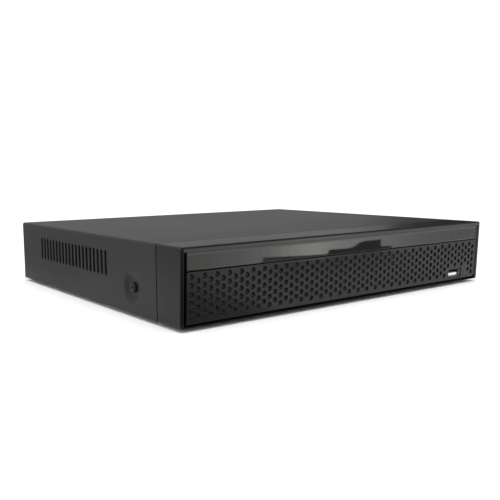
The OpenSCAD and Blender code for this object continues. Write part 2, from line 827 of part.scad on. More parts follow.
// Tongues of the rear data sockets.
module rear_usb_tongues() {
    color("white") for (z = rear_usb_zs)
        block([rear_usb_x - 5.5, socket_y - 10, z + 0.1], [rear_usb_x + 5.5, socket_y, z + 1.9]);
}

// Screw terminal block for alarm and control wires.
module alarm_terminal() {
    pitch = 5.08;
    color("seagreen") difference() {
        block([terminal_x - 7.7, socket_y - 6, board_top], [terminal_x + 7.7, socket_y + 6, board_top + 10]);
        for (i = [-1:1]) {
            block([terminal_x + i * pitch - 1.6, socket_y + 2, board_top + 1.5],
                [terminal_x + i * pitch + 1.6, socket_y + 7, board_top + 5]);
            translate([terminal_x + i * pitch, socket_y + 3.6, board_top + 6]) cylinder(h = 5, r = 1.7);
        }
    }
}

// Power inlet.
module dc_jack() {
    color("#181818") difference() {
        union() {
            block([dc_x - 4.5, socket_y - 13, board_top], [dc_x + 4.5, socket_y, board_top + 11]);
            rod_y(dc_x, dc_z, socket_y - cut, panel_t + 1.6 + cut, 4.1);
        }
        rod_y(dc_x, dc_z, socket_y - 9, 20, 3);
    }
}

// Centre pin of the power inlet.
module dc_jack_pin() {
    color("silver") rod_y(dc_x, dc_z, socket_y - 9, 9.6, 1);
}

// Body of the power switch, which clips into the rear panel.
module switch_body() {
    frame_t = 1.8;
    body_d = 14;
    color("#151515") difference() {
        union() {
            along_y(panel_y1, frame_t) translate([switch_x, switch_z]) rounded(switch_w + 2, switch_h + 2, 1);
            along_y(panel_y1 - body_d, body_d + cut) translate([switch_x, switch_z])
                square([switch_w, switch_h], center = true);
        }
        along_y(rocker_y - 6, 20) translate([switch_x, switch_z]) square([11, 17], center = true);
        translate([switch_x, rocker_y, switch_z]) rotate([0, 90, 0])
            cylinder(h = 12.8, r = 1.2 + run_gap, center = true);
    }
}

// Rocker, tipped to one of its two stops.
module power_rocker() {
    valley_y = 2;
    tip_y = 3.7;
    color("#151515") translate([switch_x, rocker_y, switch_z]) rotate([-rocker_tilt, 0, 0]) {
        intersection() {
            along_x(-5.3, 10.6) polygon([[-3.2, -9], [tip_y, -9], [tip_y, -7.6], [valley_y, 0], [tip_y, 7.6],
                [tip_y, 9], [-3.2, 9]]);
            rotate([0, 90, 0]) cylinder(h = 12, r = rocker_r, center = true);
        }
        rotate([0, 90, 0]) cylinder(h = 12.6, r = 1.2, center = true);
    }
}

// Earth screw in the rear panel.
module ground_screw() {
    color("silver") translate([ground_x, panel_y1, ground_z]) rotate([-90, 0, 0]) screw(6, 3.4, 2.2);
}

// Cast body of the drive, with a round well for the platter and a pocket for the head arm.
module hdd_base() {
    wall = 1.8;
    pocket_x1 = hdd_x1 - 24;
    color("lightgray") difference() {
        union() {
            block([hdd_x0, hdd_y0, hdd_z0 + 2], [hdd_x1, hdd_y0 + hdd_w, hdd_top - hdd_lid_t]);
            for (x = hdd_hole_xs) for (y = hdd_hole_ys) translate([x, y, hdd_z0]) cylinder(h = 3, r = 3);
        }
        translate([spindle_x, hdd_mid_y, hdd_floor_z]) cylinder(h = hdd_h, r = hdd_w / 2 - wall);
        block([spindle_x + 10, hdd_mid_y - 43, hdd_floor_z], [pocket_x1, hdd_mid_y + 43, hdd_top]);
        translate([spindle_x, hdd_mid_y, hdd_z0 + 3]) cylinder(h = hdd_h, r = 4 + run_gap);
        translate([arm_x, arm_y, hdd_z0 + 3]) cylinder(h = hdd_h, r = 3 + run_gap);
        for (x = hdd_hole_xs) for (y = hdd_hole_ys)
            translate([x, y, hdd_z0 - cut]) cylinder(h = 5 + cut, r = m3_r);
        // Steps over the drive's own board and its socket
        block([hdd_x1 - 92, hdd_y0 + 12, hdd_z0], [hdd_x1 + cut, hdd_y0 + hdd_w - 12, hdd_z0 + 2 + gap]);
        block([hdd_x1 - 1.2 - gap, hdd_y0 + 16 - gap, hdd_z0],
            [hdd_x1 + cut, hdd_y0 + 16 + hdd_socket_l + gap, hdd_z0 + 5.4 + gap]);
    }
}

// Pressed steel lid of the drive.
module hdd_lid() {
    color("silver") difference() {
        block([hdd_x0, hdd_y0, hdd_top - hdd_lid_t], [hdd_x1, hdd_y0 + hdd_w, hdd_top]);
        translate([0, 0, hdd_top - 0.5]) linear_extrude(hdd_h) difference() {
            translate([(hdd_x0 + hdd_x1) / 2, hdd_mid_y]) rounded(hdd_l + cut, hdd_w + cut, 2);
            translate([spindle_x, hdd_mid_y]) circle(hdd_w / 2 - 2);
            translate([(hdd_x0 + hdd_x1) / 2 + 10, hdd_mid_y]) rounded(hdd_l - 28, hdd_w - 8, 6);
        }
    }
}

// The drive's own board and its plug socket, under its rear half.
module hdd_board() {
    board_x0 = hdd_x1 - 90;
    color("darkgreen") {
        block([board_x0, hdd_y0 + 14, hdd_z0 + 0.3], [hdd_x1 - 1, hdd_y0 + hdd_w - 14, hdd_z0 + 1.7]);
        block([hdd_x1 - 1.2, hdd_y0 + 16, hdd_z0 + 0.3],
            [hdd_x1 + 3, hdd_y0 + 16 + hdd_socket_l, hdd_z0 + 5.4]);
    }
}

// Platter.
module hdd_platter() {
    color("white") translate([spindle_x, hdd_mid_y, platter_z]) difference() {
        cylinder(h = platter_t, r = platter_r);
        translate([0, 0, -cut]) cylinder(h = platter_t + 2 * cut, r = 12.5);
    }
}

// Motor hub with its shaft.
module hdd_hub() {
    color("silver") translate([spindle_x, hdd_mid_y, 0]) {
        translate([0, 0, hdd_floor_z + 0.5]) cylinder(h = platter_z - hdd_floor_z - 0.5, r = 15);
        translate([0, 0, platter_z]) cylinder(h = platter_t, r = 12.4);
        translate([0, 0, platter_z + platter_t]) cylinder(h = 1.5, r = 15);
        translate([0, 0, hdd_z0 + 3.2]) cylinder(h = hdd_floor_z - hdd_z0 - 2.6, r = 4);
    }
}

// Head arm: a pivot, two fingers that straddle the platter, and the coil's tail.
module hdd_head_arm() {
    finger_t = 0.9;
    finger_gap = 1.2;
    root_w = 10;
    tip_w = 2.4;
    tail_l = 19;
    low_z = platter_z - finger_gap - finger_t;
    high_z = platter_z + platter_t + finger_gap;
    color("lightgray") translate([arm_x, arm_y, 0]) rotate([0, 0, arm_rest]) {
        translate([0, 0, low_z]) cylinder(h = high_z + finger_t - low_z, r = 6);
        translate([0, 0, hdd_z0 + 3.2]) cylinder(h = low_z - hdd_z0 - 3, r = 3);
        for (z = [low_z, high_z]) translate([0, 0, z]) linear_extrude(finger_t)
            polygon([[0, root_w / 2], [arm_l, tip_w / 2], [arm_l, -tip_w / 2], [0, -root_w / 2]]);
        translate([0, 0, platter_z]) linear_extrude(2)
            polygon([[0, 4], [-tail_l, 9], [-tail_l, -9], [0, -4]]);
    }
}

// Magnet under the arm's tail.
module hdd_magnet() {
    color("silver") translate([arm_x - 6, arm_y + 5, hdd_floor_z]) cube([24, 18, 4]);
}

// Screws from below, in the pads of the tray, into the drive.
module hdd_mount_screws() {
    color("silver") for (x = hdd_hole_xs) for (y = hdd_hole_ys)
        translate([x, y, base_z + emboss_h]) rotate([180, 0, 0]) screw(5);
}

// A curve from p0 to p3 that leaves towards p1 and arrives from p2.
function bend(p0, p1, p2, p3, n) =
    [for (i = [0:n]) let (t = i / n, u = 1 - t)
        u * u * u * p0 + 3 * u * u * t * p1 + 3 * u * t * t * p2 + t * t * t * p3];

// Two paths as one, where the second begins at the first's end.
function joined(a, b) = concat(a, [for (i = [1:len(b) - 1]) b[i]]);

function unit(v) = v / norm(v);

// The point k sides round a ring of an oval section, at a path's point with the path's direction there.
function ring(p, along, w, h, sides) =
    let (side = unit(cross(along, [0, 0, 1])), up = cross(side, along))
    [for (k = [0:sides - 1]) p + side * w / 2 * cos(360 * k / sides) + up * h / 2 * sin(360 * k / sides)];

// A cable of oval section along a path that is never upright.
module cable(path, w, h) {
    sides = 8;
    last = len(path) - 1;
    rings = [for (i = [0:last])
        ring(path[i], unit(path[min(i + 1, last)] - path[max(i - 1, 0)]), w, h, sides)];
    polyhedron(
        points = [for (r = rings) each r],
        faces = concat(
            [[for (k = [sides - 1:-1:0]) k]],
            [for (i = [0:last - 1]) for (k = [0:sides - 1]) let (n = (k + 1) % sides)
                [i * sides + n, (i + 1) * sides + n, (i + 1) * sides + k, i * sides + k]],
            [[for (k = [0:sides - 1]) last * sides + k]]), convexity = 6);
}

// Drive's data lead: a flat cable with a plug at each end.
module sata_data_cable() {
    drive_plug = [hdd_x1 + 3.2, hdd_y0 + 46, hdd_z0 + 0.6];
    board_plug = [sata_x - 6.6, sata_y + 1.4, board_top + 2.2];
    start = drive_plug + [14, 5.5, 3];
    end = [sata_x, sata_y - 5, board_top + 13];
    color("firebrick") {
        translate(drive_plug) cube([14.1, 11, 5]);
        translate(board_plug) cube([13.2, 3.2, 14]);
        translate(board_plug + [1, -6.5, 8]) cube([11.2, 6.6, 6]);
        cable(bend(start, start + [14, 0, 0], end - [0, 21, 0], end, 14), 6, 2);
    }
}

// Drive's power lead: a cable with a plug at each end, led over the data lead's plug.
module sata_power_cable() {
    drive_plug = [hdd_x1 + 3.2, hdd_y0 + 17, hdd_z0 + 0.6];
    board_plug = [sata_power_x - 4.6, sata_y + 1.4, board_top + 2.2];
    start = drive_plug + [12, 11, 3];
    crest = [sata_x, sata_y - 1.5, board_top + 20.4];
    end = board_plug + [9.1, -2.2, 10.5];
    rise = bend(start, start + [30, 0, 0], crest + [30, -8, 0], crest, 14);
    fall = bend(crest, crest + [-15, 4, 0], end + [16, 0, 3], end, 8);
    color("#202020") {
        translate(drive_plug) cube([12.1, 22, 5.6]);
        translate(board_plug) cube([9.2, 3.2, 13]);
        translate(board_plug + [0, -4.6, 8]) cube([9.2, 4.8, 5]);
        cable(joined(rise, fall), 5, 3);
    }
}

// Lead from the front board to the main board, along the right side of the tray.
module front_cable() {
    front_plug = [front_board_x0 + 15, front_board_y + front_board_t, base_z + 11];
    board_plug = [97, board_y0 + 2, board_top];
    start = front_plug + [5, 5, 3];
    end = board_plug + [5, 0, 4.5];
    color("whitesmoke") {
        translate(front_plug) cube([10, 5.1, 6]);
        translate(board_plug) cube([10, 5, 8]);
        cable(bend(start, start + [0, 26, 0], end + [0, -76, -4], end, 24), 7, 1.6);
    }
}

// Square cooling fan: frame with a round duct, four arms and a bearing cup.
module fan_frame() {
    arm_w = 3;
    arm_t = 1.6;
    hole_step = 16;
    color("#202020") translate([cpu_x, cpu_y, fan_z]) difference() {
        union() {
            difference() {
                linear_extrude(fan_h) rounded(fan_w, fan_w, 3);
                translate([0, 0, -cut]) cylinder(h = fan_h + 2 * cut, r = fan_bore_r);
            }
            for (a = [45:90:315]) rotate(a)
                translate([0, -arm_w / 2, 0]) cube([fan_bore_r + 1, arm_w, arm_t]);
            cylinder(h = arm_t, r = fan_hub_r - 1);
            cylinder(h = fan_h - 4.5, r = 3);
        }
        translate([0, 0, 0.6]) cylinder(h = fan_h, r = 1 + run_gap);
        for (i = [-1, 1]) for (j = [-1, 1]) translate([i * hole_step, j * hole_step, -cut])
            cylinder(h = fan_h + 2 * cut, r = m3_clear_r);
    }
}

// Fan rotor: a cup on a shaft, with seven pitched blades.
module fan_rotor() {
    blades = 7;
    blade_h = 6.4;
    pitch = 38;
    tip_r = fan_bore_r - 0.8;
    color("#2a2a2a") translate([cpu_x, cpu_y, 0]) {
        translate([0, 0, fan_hub_z]) difference() {
            cylinder(h = 7.2, r = fan_hub_r);
            translate([0, 0, -cut]) cylinder(h = 5 + cut, r = fan_hub_r - 1.2);
        }
        translate([0, 0, fan_z + 0.8]) cylinder(h = fan_hub_z - fan_z + 4.6, r = 1);
        intersection() {
            translate([0, 0, fan_hub_z + 0.2]) difference() {
                cylinder(h = blade_h, r = tip_r);
                translate([0, 0, -cut]) cylinder(h = blade_h + 2 * cut, r = fan_hub_r - 0.6);
            }
            for (i = [0:blades - 1]) rotate(i * 360 / blades)
                translate([(fan_hub_r + tip_r) / 2, 0, fan_hub_z + 3.4]) rotate([pitch, 0, 0])
                    cube([tip_r - fan_hub_r + 4, 13, 0.9], center = true);
        }
    }
}

// Fan's lead to the main board.
module fan_cable() {
    plug = [cpu_x + 30, cpu_y - 2, board_top];
    start = [cpu_x + fan_w / 2 + gap, cpu_y + 8, fan_z + 2.2];
    end = plug + [0.2, 2.5, 5];
    color("#181818") {
        translate(plug) cube([5, 7.5, 7]);
        cable(bend(start, start + [9, 0, 0], end + [-7, 0, 7], end, 10), 3, 1.4);
    }
}

chassis_tray();
rear_panel();
top_cover();
front_bezel();
face_panel();
gloss_strip();
light_pipes();
front_board();
front_leds();
ir_receiver();
front_usb_shell();
front_usb_tongue();
front_board_screws();
bezel_screws();
front_cable();
main_board();
board_standoffs();
board_screws();
processor();
heatsink();
board_chips();
capacitors();
coin_cell_holder();
coin_cell();
sata_sockets();
bnc_bodies();
bnc_barrels();
bnc_insulators();
bnc_contacts();
rca_body();
rca_barrels();
vga_socket();
vga_nuts();
hdmi_socket();
lan_socket();
rear_usb_shell();
rear_usb_tongues();
alarm_terminal();
dc_jack();
dc_jack_pin();
switch_body();
power_rocker();
ground_screw();
hdd_base();
hdd_lid();
hdd_board();
hdd_platter();
hdd_hub();
hdd_head_arm();
hdd_magnet();
hdd_mount_screws();
sata_data_cable();
sata_power_cable();
fan_frame();
fan_rotor();
fan_cable();
feet();
cover_screws();
side_screw_nuts();
rear_panel_screws();
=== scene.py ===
import math
import random

import bmesh
import bpy
from mathutils import Matrix, Vector
from mathutils.geometry import delaunay_2d_cdt


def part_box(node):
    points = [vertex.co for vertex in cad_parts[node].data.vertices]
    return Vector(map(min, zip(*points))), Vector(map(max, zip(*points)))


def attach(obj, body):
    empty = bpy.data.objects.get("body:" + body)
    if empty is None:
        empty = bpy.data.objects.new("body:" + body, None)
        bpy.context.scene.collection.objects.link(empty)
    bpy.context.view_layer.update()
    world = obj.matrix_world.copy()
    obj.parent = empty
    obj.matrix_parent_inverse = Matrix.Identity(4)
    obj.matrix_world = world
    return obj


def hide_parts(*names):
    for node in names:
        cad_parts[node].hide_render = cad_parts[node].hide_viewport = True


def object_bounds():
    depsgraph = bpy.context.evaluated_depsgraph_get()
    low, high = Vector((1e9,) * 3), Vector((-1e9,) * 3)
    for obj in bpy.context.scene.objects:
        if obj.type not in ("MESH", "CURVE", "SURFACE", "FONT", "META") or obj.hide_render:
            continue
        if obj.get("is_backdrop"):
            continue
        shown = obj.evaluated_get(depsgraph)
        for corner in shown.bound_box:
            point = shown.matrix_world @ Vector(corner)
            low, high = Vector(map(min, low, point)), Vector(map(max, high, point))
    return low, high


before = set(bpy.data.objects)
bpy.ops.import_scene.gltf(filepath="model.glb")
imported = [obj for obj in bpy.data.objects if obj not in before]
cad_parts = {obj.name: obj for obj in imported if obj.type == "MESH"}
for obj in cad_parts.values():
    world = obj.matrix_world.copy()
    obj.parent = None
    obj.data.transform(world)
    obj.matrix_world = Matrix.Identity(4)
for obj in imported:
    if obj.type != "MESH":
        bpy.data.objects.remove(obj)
cad_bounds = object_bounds()

MM = 0.001
ROUND_STEPS = 3
SHARP_ANGLE = math.radians(38)


# ---------------------------------------------------------------- sizes from the frame

COVER_LO, COVER_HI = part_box("top_cover")
BEZEL_LO, BEZEL_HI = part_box("front_bezel")
FACE_LO, FACE_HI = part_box("face_panel")
STRIP_LO, STRIP_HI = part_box("gloss_strip")
USB_LO, USB_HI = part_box("front_usb_shell")
PANEL_LO, PANEL_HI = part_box("rear_panel")
BOARD_LO, BOARD_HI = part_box("main_board")

HALF_W = BEZEL_HI.x
TOP_Z = BEZEL_HI.z
BASE_Z = BEZEL_LO.z
CASE_H = TOP_Z - BASE_Z
FRONT_Y = BEZEL_LO.y
SEAM_Y = BEZEL_LO.y + 25.4 * MM
REAR_Y = COVER_HI.y
SHEET_T = 0.8 * MM
DIMPLE_Y = FRONT_Y + 53.8 * MM
DIMPLE_Z = BASE_Z + 15.2 * MM
USB_MID = (USB_LO + USB_HI) / 2
COVER_SCREWS = [(x * MM, TOP_Z - 4.4 * MM) for x in (-90, 0, 90)]
PANEL_SCREWS = [(x * MM, 5.6 * MM) for x in (-90, 0, 104)]
INLET = (85 * MM, 16.6 * MM)
EARTH = (85 * MM, 29.6 * MM)
FRONT_LEAN = 1.9 * MM
LEAN = math.atan(FRONT_LEAN / CASE_H)


# ---------------------------------------------------------------- outlines

def circle(cx, cy, r, n=32):
    """Points round a circle, anticlockwise."""
    angles = [2 * math.pi * k / n for k in range(n)]
    return [(cx + r * math.cos(a), cy + r * math.sin(a)) for a in angles]


def in_metres(profile):
    """A lathe profile given in millimetres."""
    return [(r * MM, h * MM) for r, h in profile]


def rounded(x0, y0, x1, y1, r, n=6):
    """A rectangle with round corners, anticlockwise."""
    corners = ((x1 - r, y0 + r, -90), (x1 - r, y1 - r, 0), (x0 + r, y1 - r, 90), (x0 + r, y0 + r, 180))
    points = []
    for cx, cy, start in corners:
        for k in range(n + 1):
            a = math.radians(start + 90 * k / n)
            points.append((cx + r * math.cos(a), cy + r * math.sin(a)))
    return points


def cross(cx, cy, arm, w, turn=0.0):
    """A cross recess, anticlockwise."""
    a, b = arm, w / 2
    shape = ((a, -b), (a, b), (b, b), (b, a), (-b, a), (-b, b),
             (-a, b), (-a, -b), (-b, -b), (-b, -a), (b, -a), (b, -b))
    c, s = math.cos(turn), math.sin(turn)
    return [(cx + x * c - y * s, cy + x * s + y * c) for x, y in shape]


def area(loop):
    return sum(a[0] * b[1] - b[0] * a[1] for a, b in zip(loop, loop[1:] + loop[:1])) / 2


def grown(loop, d):
    """The loop with each point moved outwards by d."""
    sign = 1 if area(loop) > 0 else -1
    out = []
    n = len(loop)
    for i in range(n):
        px, py = loop[i - 1]
        qx, qy = loop[i]
        rx, ry = loop[(i + 1) % n]
        ax, ay = Vector((qx - px, qy - py)).normalized()
        bx, by = Vector((rx - qx, ry - qy)).normalized()
        normal = Vector((ay + by, -ax - bx)) * sign
        if normal.length < 1e-9:
            normal = Vector((ay, -ax)) * sign
        normal.normalize()
        scale = min(2.0, 1 / max(0.35, normal.dot(Vector((ay, -ax)) * sign)))
        out.append((qx + normal.x * d * scale, qy + normal.y * d * scale))
    return out


def inside(point, loop):
    """True where a point is inside a loop."""
    x, y = point
    hit = False
    for (ax, ay), (bx, by) in zip(loop, loop[1:] + loop[:1]):
        if (ay > y) != (by > y) and x < (bx - ax) * (y - ay) / (by - ay) + ax:
            hit = not hit
    return hit


def triangles(outer, holes, lines=()):
    """Triangles that cover outer and leave the holes open, as index triples into outer's points and then the
    holes'. lines are pairs of indices into outer, which stay as edges."""
    loops = [outer] + list(holes)
    points, owner, edges = [], [], []
    for k, loop in enumerate(loops):
        first = len(points)
        points.extend(Vector(p) for p in loop)
        owner.extend([k] * len(loop))
        edges.extend((first + i, first + (i + 1) % len(loop)) for i in range(len(loop)))
    edges.extend(lines)
    _, _, faces, source, _, _ = delaunay_2d_cdt(points, edges, [], 0, 1e-9)
    kept = []
    for f in faces:
        ids = [source[i][0] for i in f]
        owners = {owner[i] for i in ids}
        centre = sum((points[i] for i in ids), Vector((0, 0))) / 3
        if len(owners) == 1 and (k := owners.pop()) > 0 and inside(centre, loops[k]):
            continue
        if not inside(centre, outer):
            continue
        kept.append(tuple(ids))
    return kept


# ---------------------------------------------------------------- mesh building

class Mesh:
    """Points and faces of a piece, with a material number for each face."""

    def __init__(self):
        self.points, self.faces, self.marks = [], [], []
        self.mark = 0

    def ring(self, points):
        first = len(self.points)
        self.points.extend(tuple(p) for p in points)
        return list(range(first, first + len(points)))

    def face(self, ids):
        self.faces.append(tuple(ids))
        self.marks.append(self.mark)

    def bridge(self, a, b):
        """Quads between two rings of the same length."""
        n = len(a)
        for i in range(n):
            self.face((a[i], a[(i + 1) % n], b[(i + 1) % n], b[i]))

    def placed(self, place, loop, w):
        """A ring from a flat loop, at w along the place() function's third direction."""
        return self.ring([place(u, v, w) for u, v in loop])

    def skin(self, rings):
        """Quads from each ring to the next."""
        for a, b in zip(rings, rings[1:]):
            self.bridge(a, b)

    def fill(self, ids, outer, holes=(), lines=()):
        """A flat face over outer, open at the holes. ids are the points of outer and then the holes."""
        for t in triangles(outer, holes, lines):
            self.face([ids[i] for i in t])

    def loft(self, rings, closed=False):
        """Rings of points joined one to the next, with flat ends unless closed."""
        ids = [self.ring(r) for r in rings]
        self.skin(ids)
        if closed:
            self.bridge(ids[-1], ids[0])
        else:
            self.face(reversed(ids[0]))
            self.face(ids[-1])

    def lathe(self, profile, place, n=40):
        """A profile of (radius, height) turned round an axis. place(x, y, h) puts a point in the frame."""
        rings = []
        for r, h in profile:
            loop = [(0, 0)] if r < 1e-9 else circle(0, 0, r, n)
            rings.append(self.placed(place, loop, h))
        for a, b in zip(rings, rings[1:]):
            if len(a) == 1 and len(b) == 1:
                continue
            if len(a) == 1:
                for i in range(n):
                    self.face((a[0], b[(i + 1) % n], b[i]))
            elif len(b) == 1:
                for i in range(n):
                    self.face((a[i], a[(i + 1) % n], b[0]))
            else:
                self.bridge(a, b)

    def plate(self, outer, place, depth, edge=0.0, holes=(), pits=(), lines=(), gaps=(), wall_mark=None,
              pit_mark=None):
        """A plate with rounded edges. place(u, v, w) puts a point at depth w under the front face.
        holes go through; pits are (loop, depth) and are blind; gaps are left open, with no walls, and their
        points on the two faces are returned. wall_mark is the outer wall's material, pit_mark the pits'."""
        holes, gaps = list(holes), list(gaps)
        face_mark = self.mark
        loops = [(outer, 1)] + [(h, -1) for h in holes] + [(p, -1) for p, _ in pits]
        turns = [math.pi / 2 * k / ROUND_STEPS for k in range(ROUND_STEPS + 1)] if edge > 0 else [0.0]
        steps = [(edge * math.sin(a), edge * (1 - math.cos(a))) for a in turns]

        def drawn(loop, side, d):
            """The loop drawn in by d from where its wall stands."""
            return grown(loop, -side * d) if edge else loop

        front_rings = [[self.placed(place, drawn(loop, side, edge - d), w) for d, w in steps]
                       for loop, side in loops]
        gap_fronts = [self.placed(place, loop, 0.0) for loop in gaps]
        gap_backs = [self.placed(place, loop, depth) for loop in gaps]
        front_loops = [drawn(loop, side, edge) for loop, side in loops]
        flat = [i for rings in front_rings for i in rings[0]] + [i for ring in gap_fronts for i in ring]
        self.fill(flat, outer=front_loops[0], holes=front_loops[1:] + gaps, lines=lines)
        back_loops, back_first = [], []
        for k, (loop, side) in enumerate(loops):
            rings = front_rings[k]
            self.skin(rings)
            if k <= len(holes):
                last = rings[-1]
                self.mark = face_mark if k or wall_mark is None else wall_mark
                for d, w in reversed(steps):
                    ring = self.placed(place, drawn(loop, side, edge - d), depth - w)
                    self.bridge(last, ring)
                    last = ring
                self.mark = face_mark
                back_loops.append(drawn(loop, side, edge))
                back_first.extend(last)
            else:
                pit_depth = pits[k - 1 - len(holes)][1]
                fillet = min(edge, pit_depth / 3)
                wall = self.placed(place, loop, pit_depth - fillet)
                floor = self.placed(place, grown(loop, -fillet), pit_depth)
                self.mark = face_mark if pit_mark is None else pit_mark
                self.skin([rings[-1], wall, floor])
                self.face(floor)
                self.mark = face_mark
        back_first.extend(i for ring in gap_backs for i in ring)
        for t in triangles(back_loops[0], back_loops[1:] + gaps, lines):
            self.face([back_first[i] for i in reversed(t)])
        return gap_fronts, gap_backs

    def box(self, lo, hi, edge=0.0):
        """A box with rounded edges along all its sides."""
        e = max(edge, 1e-6)
        x0, y0, x1, y1 = lo[0], lo[1], hi[0], hi[1]

        def ring(d, z):
            r = max(e - d, e * 0.02)
            return [(x, y, z) for x, y in rounded(x0 + d, y0 + d, x1 - d, y1 - d, r, 3)]

        turns = [math.pi / 2 * k / 3 for k in range(4)]
        levels = [(e * (1 - math.sin(a)), e * (1 - math.cos(a))) for a in turns]
        rings = [ring(d, lo[2] + w) for d, w in levels]
        rings += [ring(d, hi[2] - w) for d, w in reversed(levels)]
        self.loft(rings)


def new_object(name, data, materials=()):
    """An object in the scene, from its mesh, lamp or camera data."""
    for m in materials if isinstance(materials, (list, tuple)) else [materials]:
        data.materials.append(m)
    made = bpy.data.objects.new(name, data)
    bpy.context.scene.collection.objects.link(made)
    return made


def add_piece(name, mesh, materials, node=None, body="chassis"):
    """Makes a mesh object from a Mesh, puts it on a body, and hides the CAD node it stands for."""
    data = bpy.data.meshes.new(name)
    data.from_pydata(mesh.points, [], mesh.faces)
    data.validate()
    piece = new_object(name, data, materials)
    if len(data.polygons) == len(mesh.marks):
        data.polygons.foreach_set("material_index", mesh.marks)
    tidy_normals(piece)
    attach(piece, body)
    if node:
        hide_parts(node)
    return piece


def tidy_normals(piece):
    """Turns the faces outwards and shades smooth up to the sharp angle."""
    bm = bmesh.new()
    bm.from_mesh(piece.data)
    bmesh.ops.remove_doubles(bm, verts=bm.verts, dist=1e-7)
    bmesh.ops.recalc_face_normals(bm, faces=bm.faces)
    bm.to_mesh(piece.data)
    bm.free()
    piece.data.shade_smooth()
    piece.data.set_sharp_from_angle(angle=SHARP_ANGLE)
    weighted = piece.modifiers.new("weighted", "WEIGHTED_NORMAL")
    weighted.keep_sharp = True


# ---------------------------------------------------------------- materials

class Nodes:
    """Short calls for building a material's node tree."""

    def __init__(self, name):
        self.material = bpy.data.materials.new(name)
        self.material.use_nodes = True
        self.tree = self.material.node_tree
        self.shader = self.tree.nodes["Principled BSDF"]

    def node(self, kind, **values):
        n = self.tree.nodes.new(kind)
        for key, value in values.items():
            setattr(n, key, value)
        return n

    def link(self, a, b):
        self.tree.links.new(a, b)

    def noise(self, scale, detail=3.0, rough=0.55, stretch=(1, 1, 1)):
        place = self.node("ShaderNodeTexCoord")
        spread = self.node("ShaderNodeMapping")
        spread.inputs["Scale"].default_value = stretch
        noise = self.node("ShaderNodeTexNoise")
        noise.inputs["Scale"].default_value = scale
        noise.inputs["Detail"].default_value = detail
        noise.inputs["Roughness"].default_value = rough
        self.link(place.outputs["Object"], spread.inputs["Vector"])
        self.link(spread.outputs["Vector"], noise.inputs["Vector"])
        return noise.outputs["Fac"]

    def span(self, value, low, high, from_low=0.3, from_high=0.7):
        n = self.node("ShaderNodeMapRange")
        n.inputs["From Min"].default_value = from_low
        n.inputs["From Max"].default_value = from_high
        n.inputs["To Min"].default_value = low
        n.inputs["To Max"].default_value = high
        self.link(value, n.inputs["Value"])
        return n.outputs["Result"]

    def mix(self, factor, a, b):
        n = self.node("ShaderNodeMix", data_type="RGBA")
        self.link(factor, n.inputs["Factor"])
        for colour, socket in ((a, n.inputs["A"]), (b, n.inputs["B"])):
            if isinstance(colour, tuple):
                socket.default_value = (*colour, 1)
            else:
                self.link(colour, socket)
        return n.outputs["Result"]

    def bump(self, height, strength, distance):
        n = self.node("ShaderNodeBump")
        n.inputs["Strength"].default_value = strength
        n.inputs["Distance"].default_value = distance
        self.link(height, n.inputs["Height"])
        self.link(n.outputs["Normal"], self.shader.inputs["Normal"])


def shade(colour, k):
    return tuple(min(1.0, max(0.0, c * k)) for c in colour)


def surface(name, colour, rough, metallic=0.0, grain=900.0, bump=0.12, depth=0.00006, vary=0.12,
            rough_vary=0.06, wear=0.35, stretch=(1, 1, 1), coat=0.0, specular=0.5):
    """A moulded, painted or machined surface: fine grain, slow colour and gloss changes, worn edges."""
    m = Nodes(name)
    slow = m.noise(14.0, 2.0)
    fine = m.noise(grain, 3.0, stretch=stretch)
    base = m.mix(m.span(slow, 0.0, 1.0), shade(colour, 1 - vary), shade(colour, 1 + vary))
    speck = m.mix(m.span(fine, 0.0, 0.35), base, shade(colour, 1 + 2.2 * vary))
    edge = m.node("ShaderNodeNewGeometry").outputs["Pointiness"]
    worn = m.mix(m.span(edge, 0.0, wear, 0.52, 0.60), speck, shade(colour, 1.9))
    m.link(worn, m.shader.inputs["Base Color"])
    blend = m.node("ShaderNodeMath", operation="ADD")
    m.link(m.span(slow, -rough_vary, rough_vary), blend.inputs[0])
    m.link(m.span(fine, rough - rough_vary, rough + rough_vary), blend.inputs[1])
    m.link(blend.outputs["Value"], m.shader.inputs["Roughness"])
    m.bump(fine, bump, depth)
    m.shader.inputs["Metallic"].default_value = metallic
    m.shader.inputs["Coat Weight"].default_value = coat
    m.shader.inputs["Coat Roughness"].default_value = 0.05
    m.shader.inputs["Specular IOR Level"].default_value = specular
    return m.material


COVER_PAINT = surface("cover_paint", (0.0110, 0.0110, 0.0108), 0.50, grain=1500, bump=0.35, depth=0.00009,
                      vary=0.03, rough_vary=0.015, specular=0.19)
BEZEL_PLASTIC = surface("bezel_plastic", (0.004, 0.004, 0.0039), 0.40, grain=2600, bump=0.10, vary=0.04,
                        rough_vary=0.02, specular=0.16)
# Grey of the lip; also used on the groove's right wall and on pale shelves in the groove as painted light
LIP_AND_LIGHT_PLASTIC = surface("lip_plastic_and_painted_light", (0.022, 0.022, 0.021), 0.36, grain=2600, bump=0.06,
                      vary=0.05, specular=0.3)
# Black that stands in for shade: the front edge line, the groove, the seams and the panels' edge walls are
# painted shade
PAINTED_SHADE_BLACK = surface("painted_shade_black", (0.003, 0.003, 0.003), 0.45, grain=2600, bump=0.06, vary=0.10,
                       wear=0.1, specular=0.1)
PANEL_PLASTIC = surface("panel_plastic", (0.007, 0.007, 0.0066), 0.32, grain=2400, bump=0.06, vary=0.08,
                        specular=0.28)
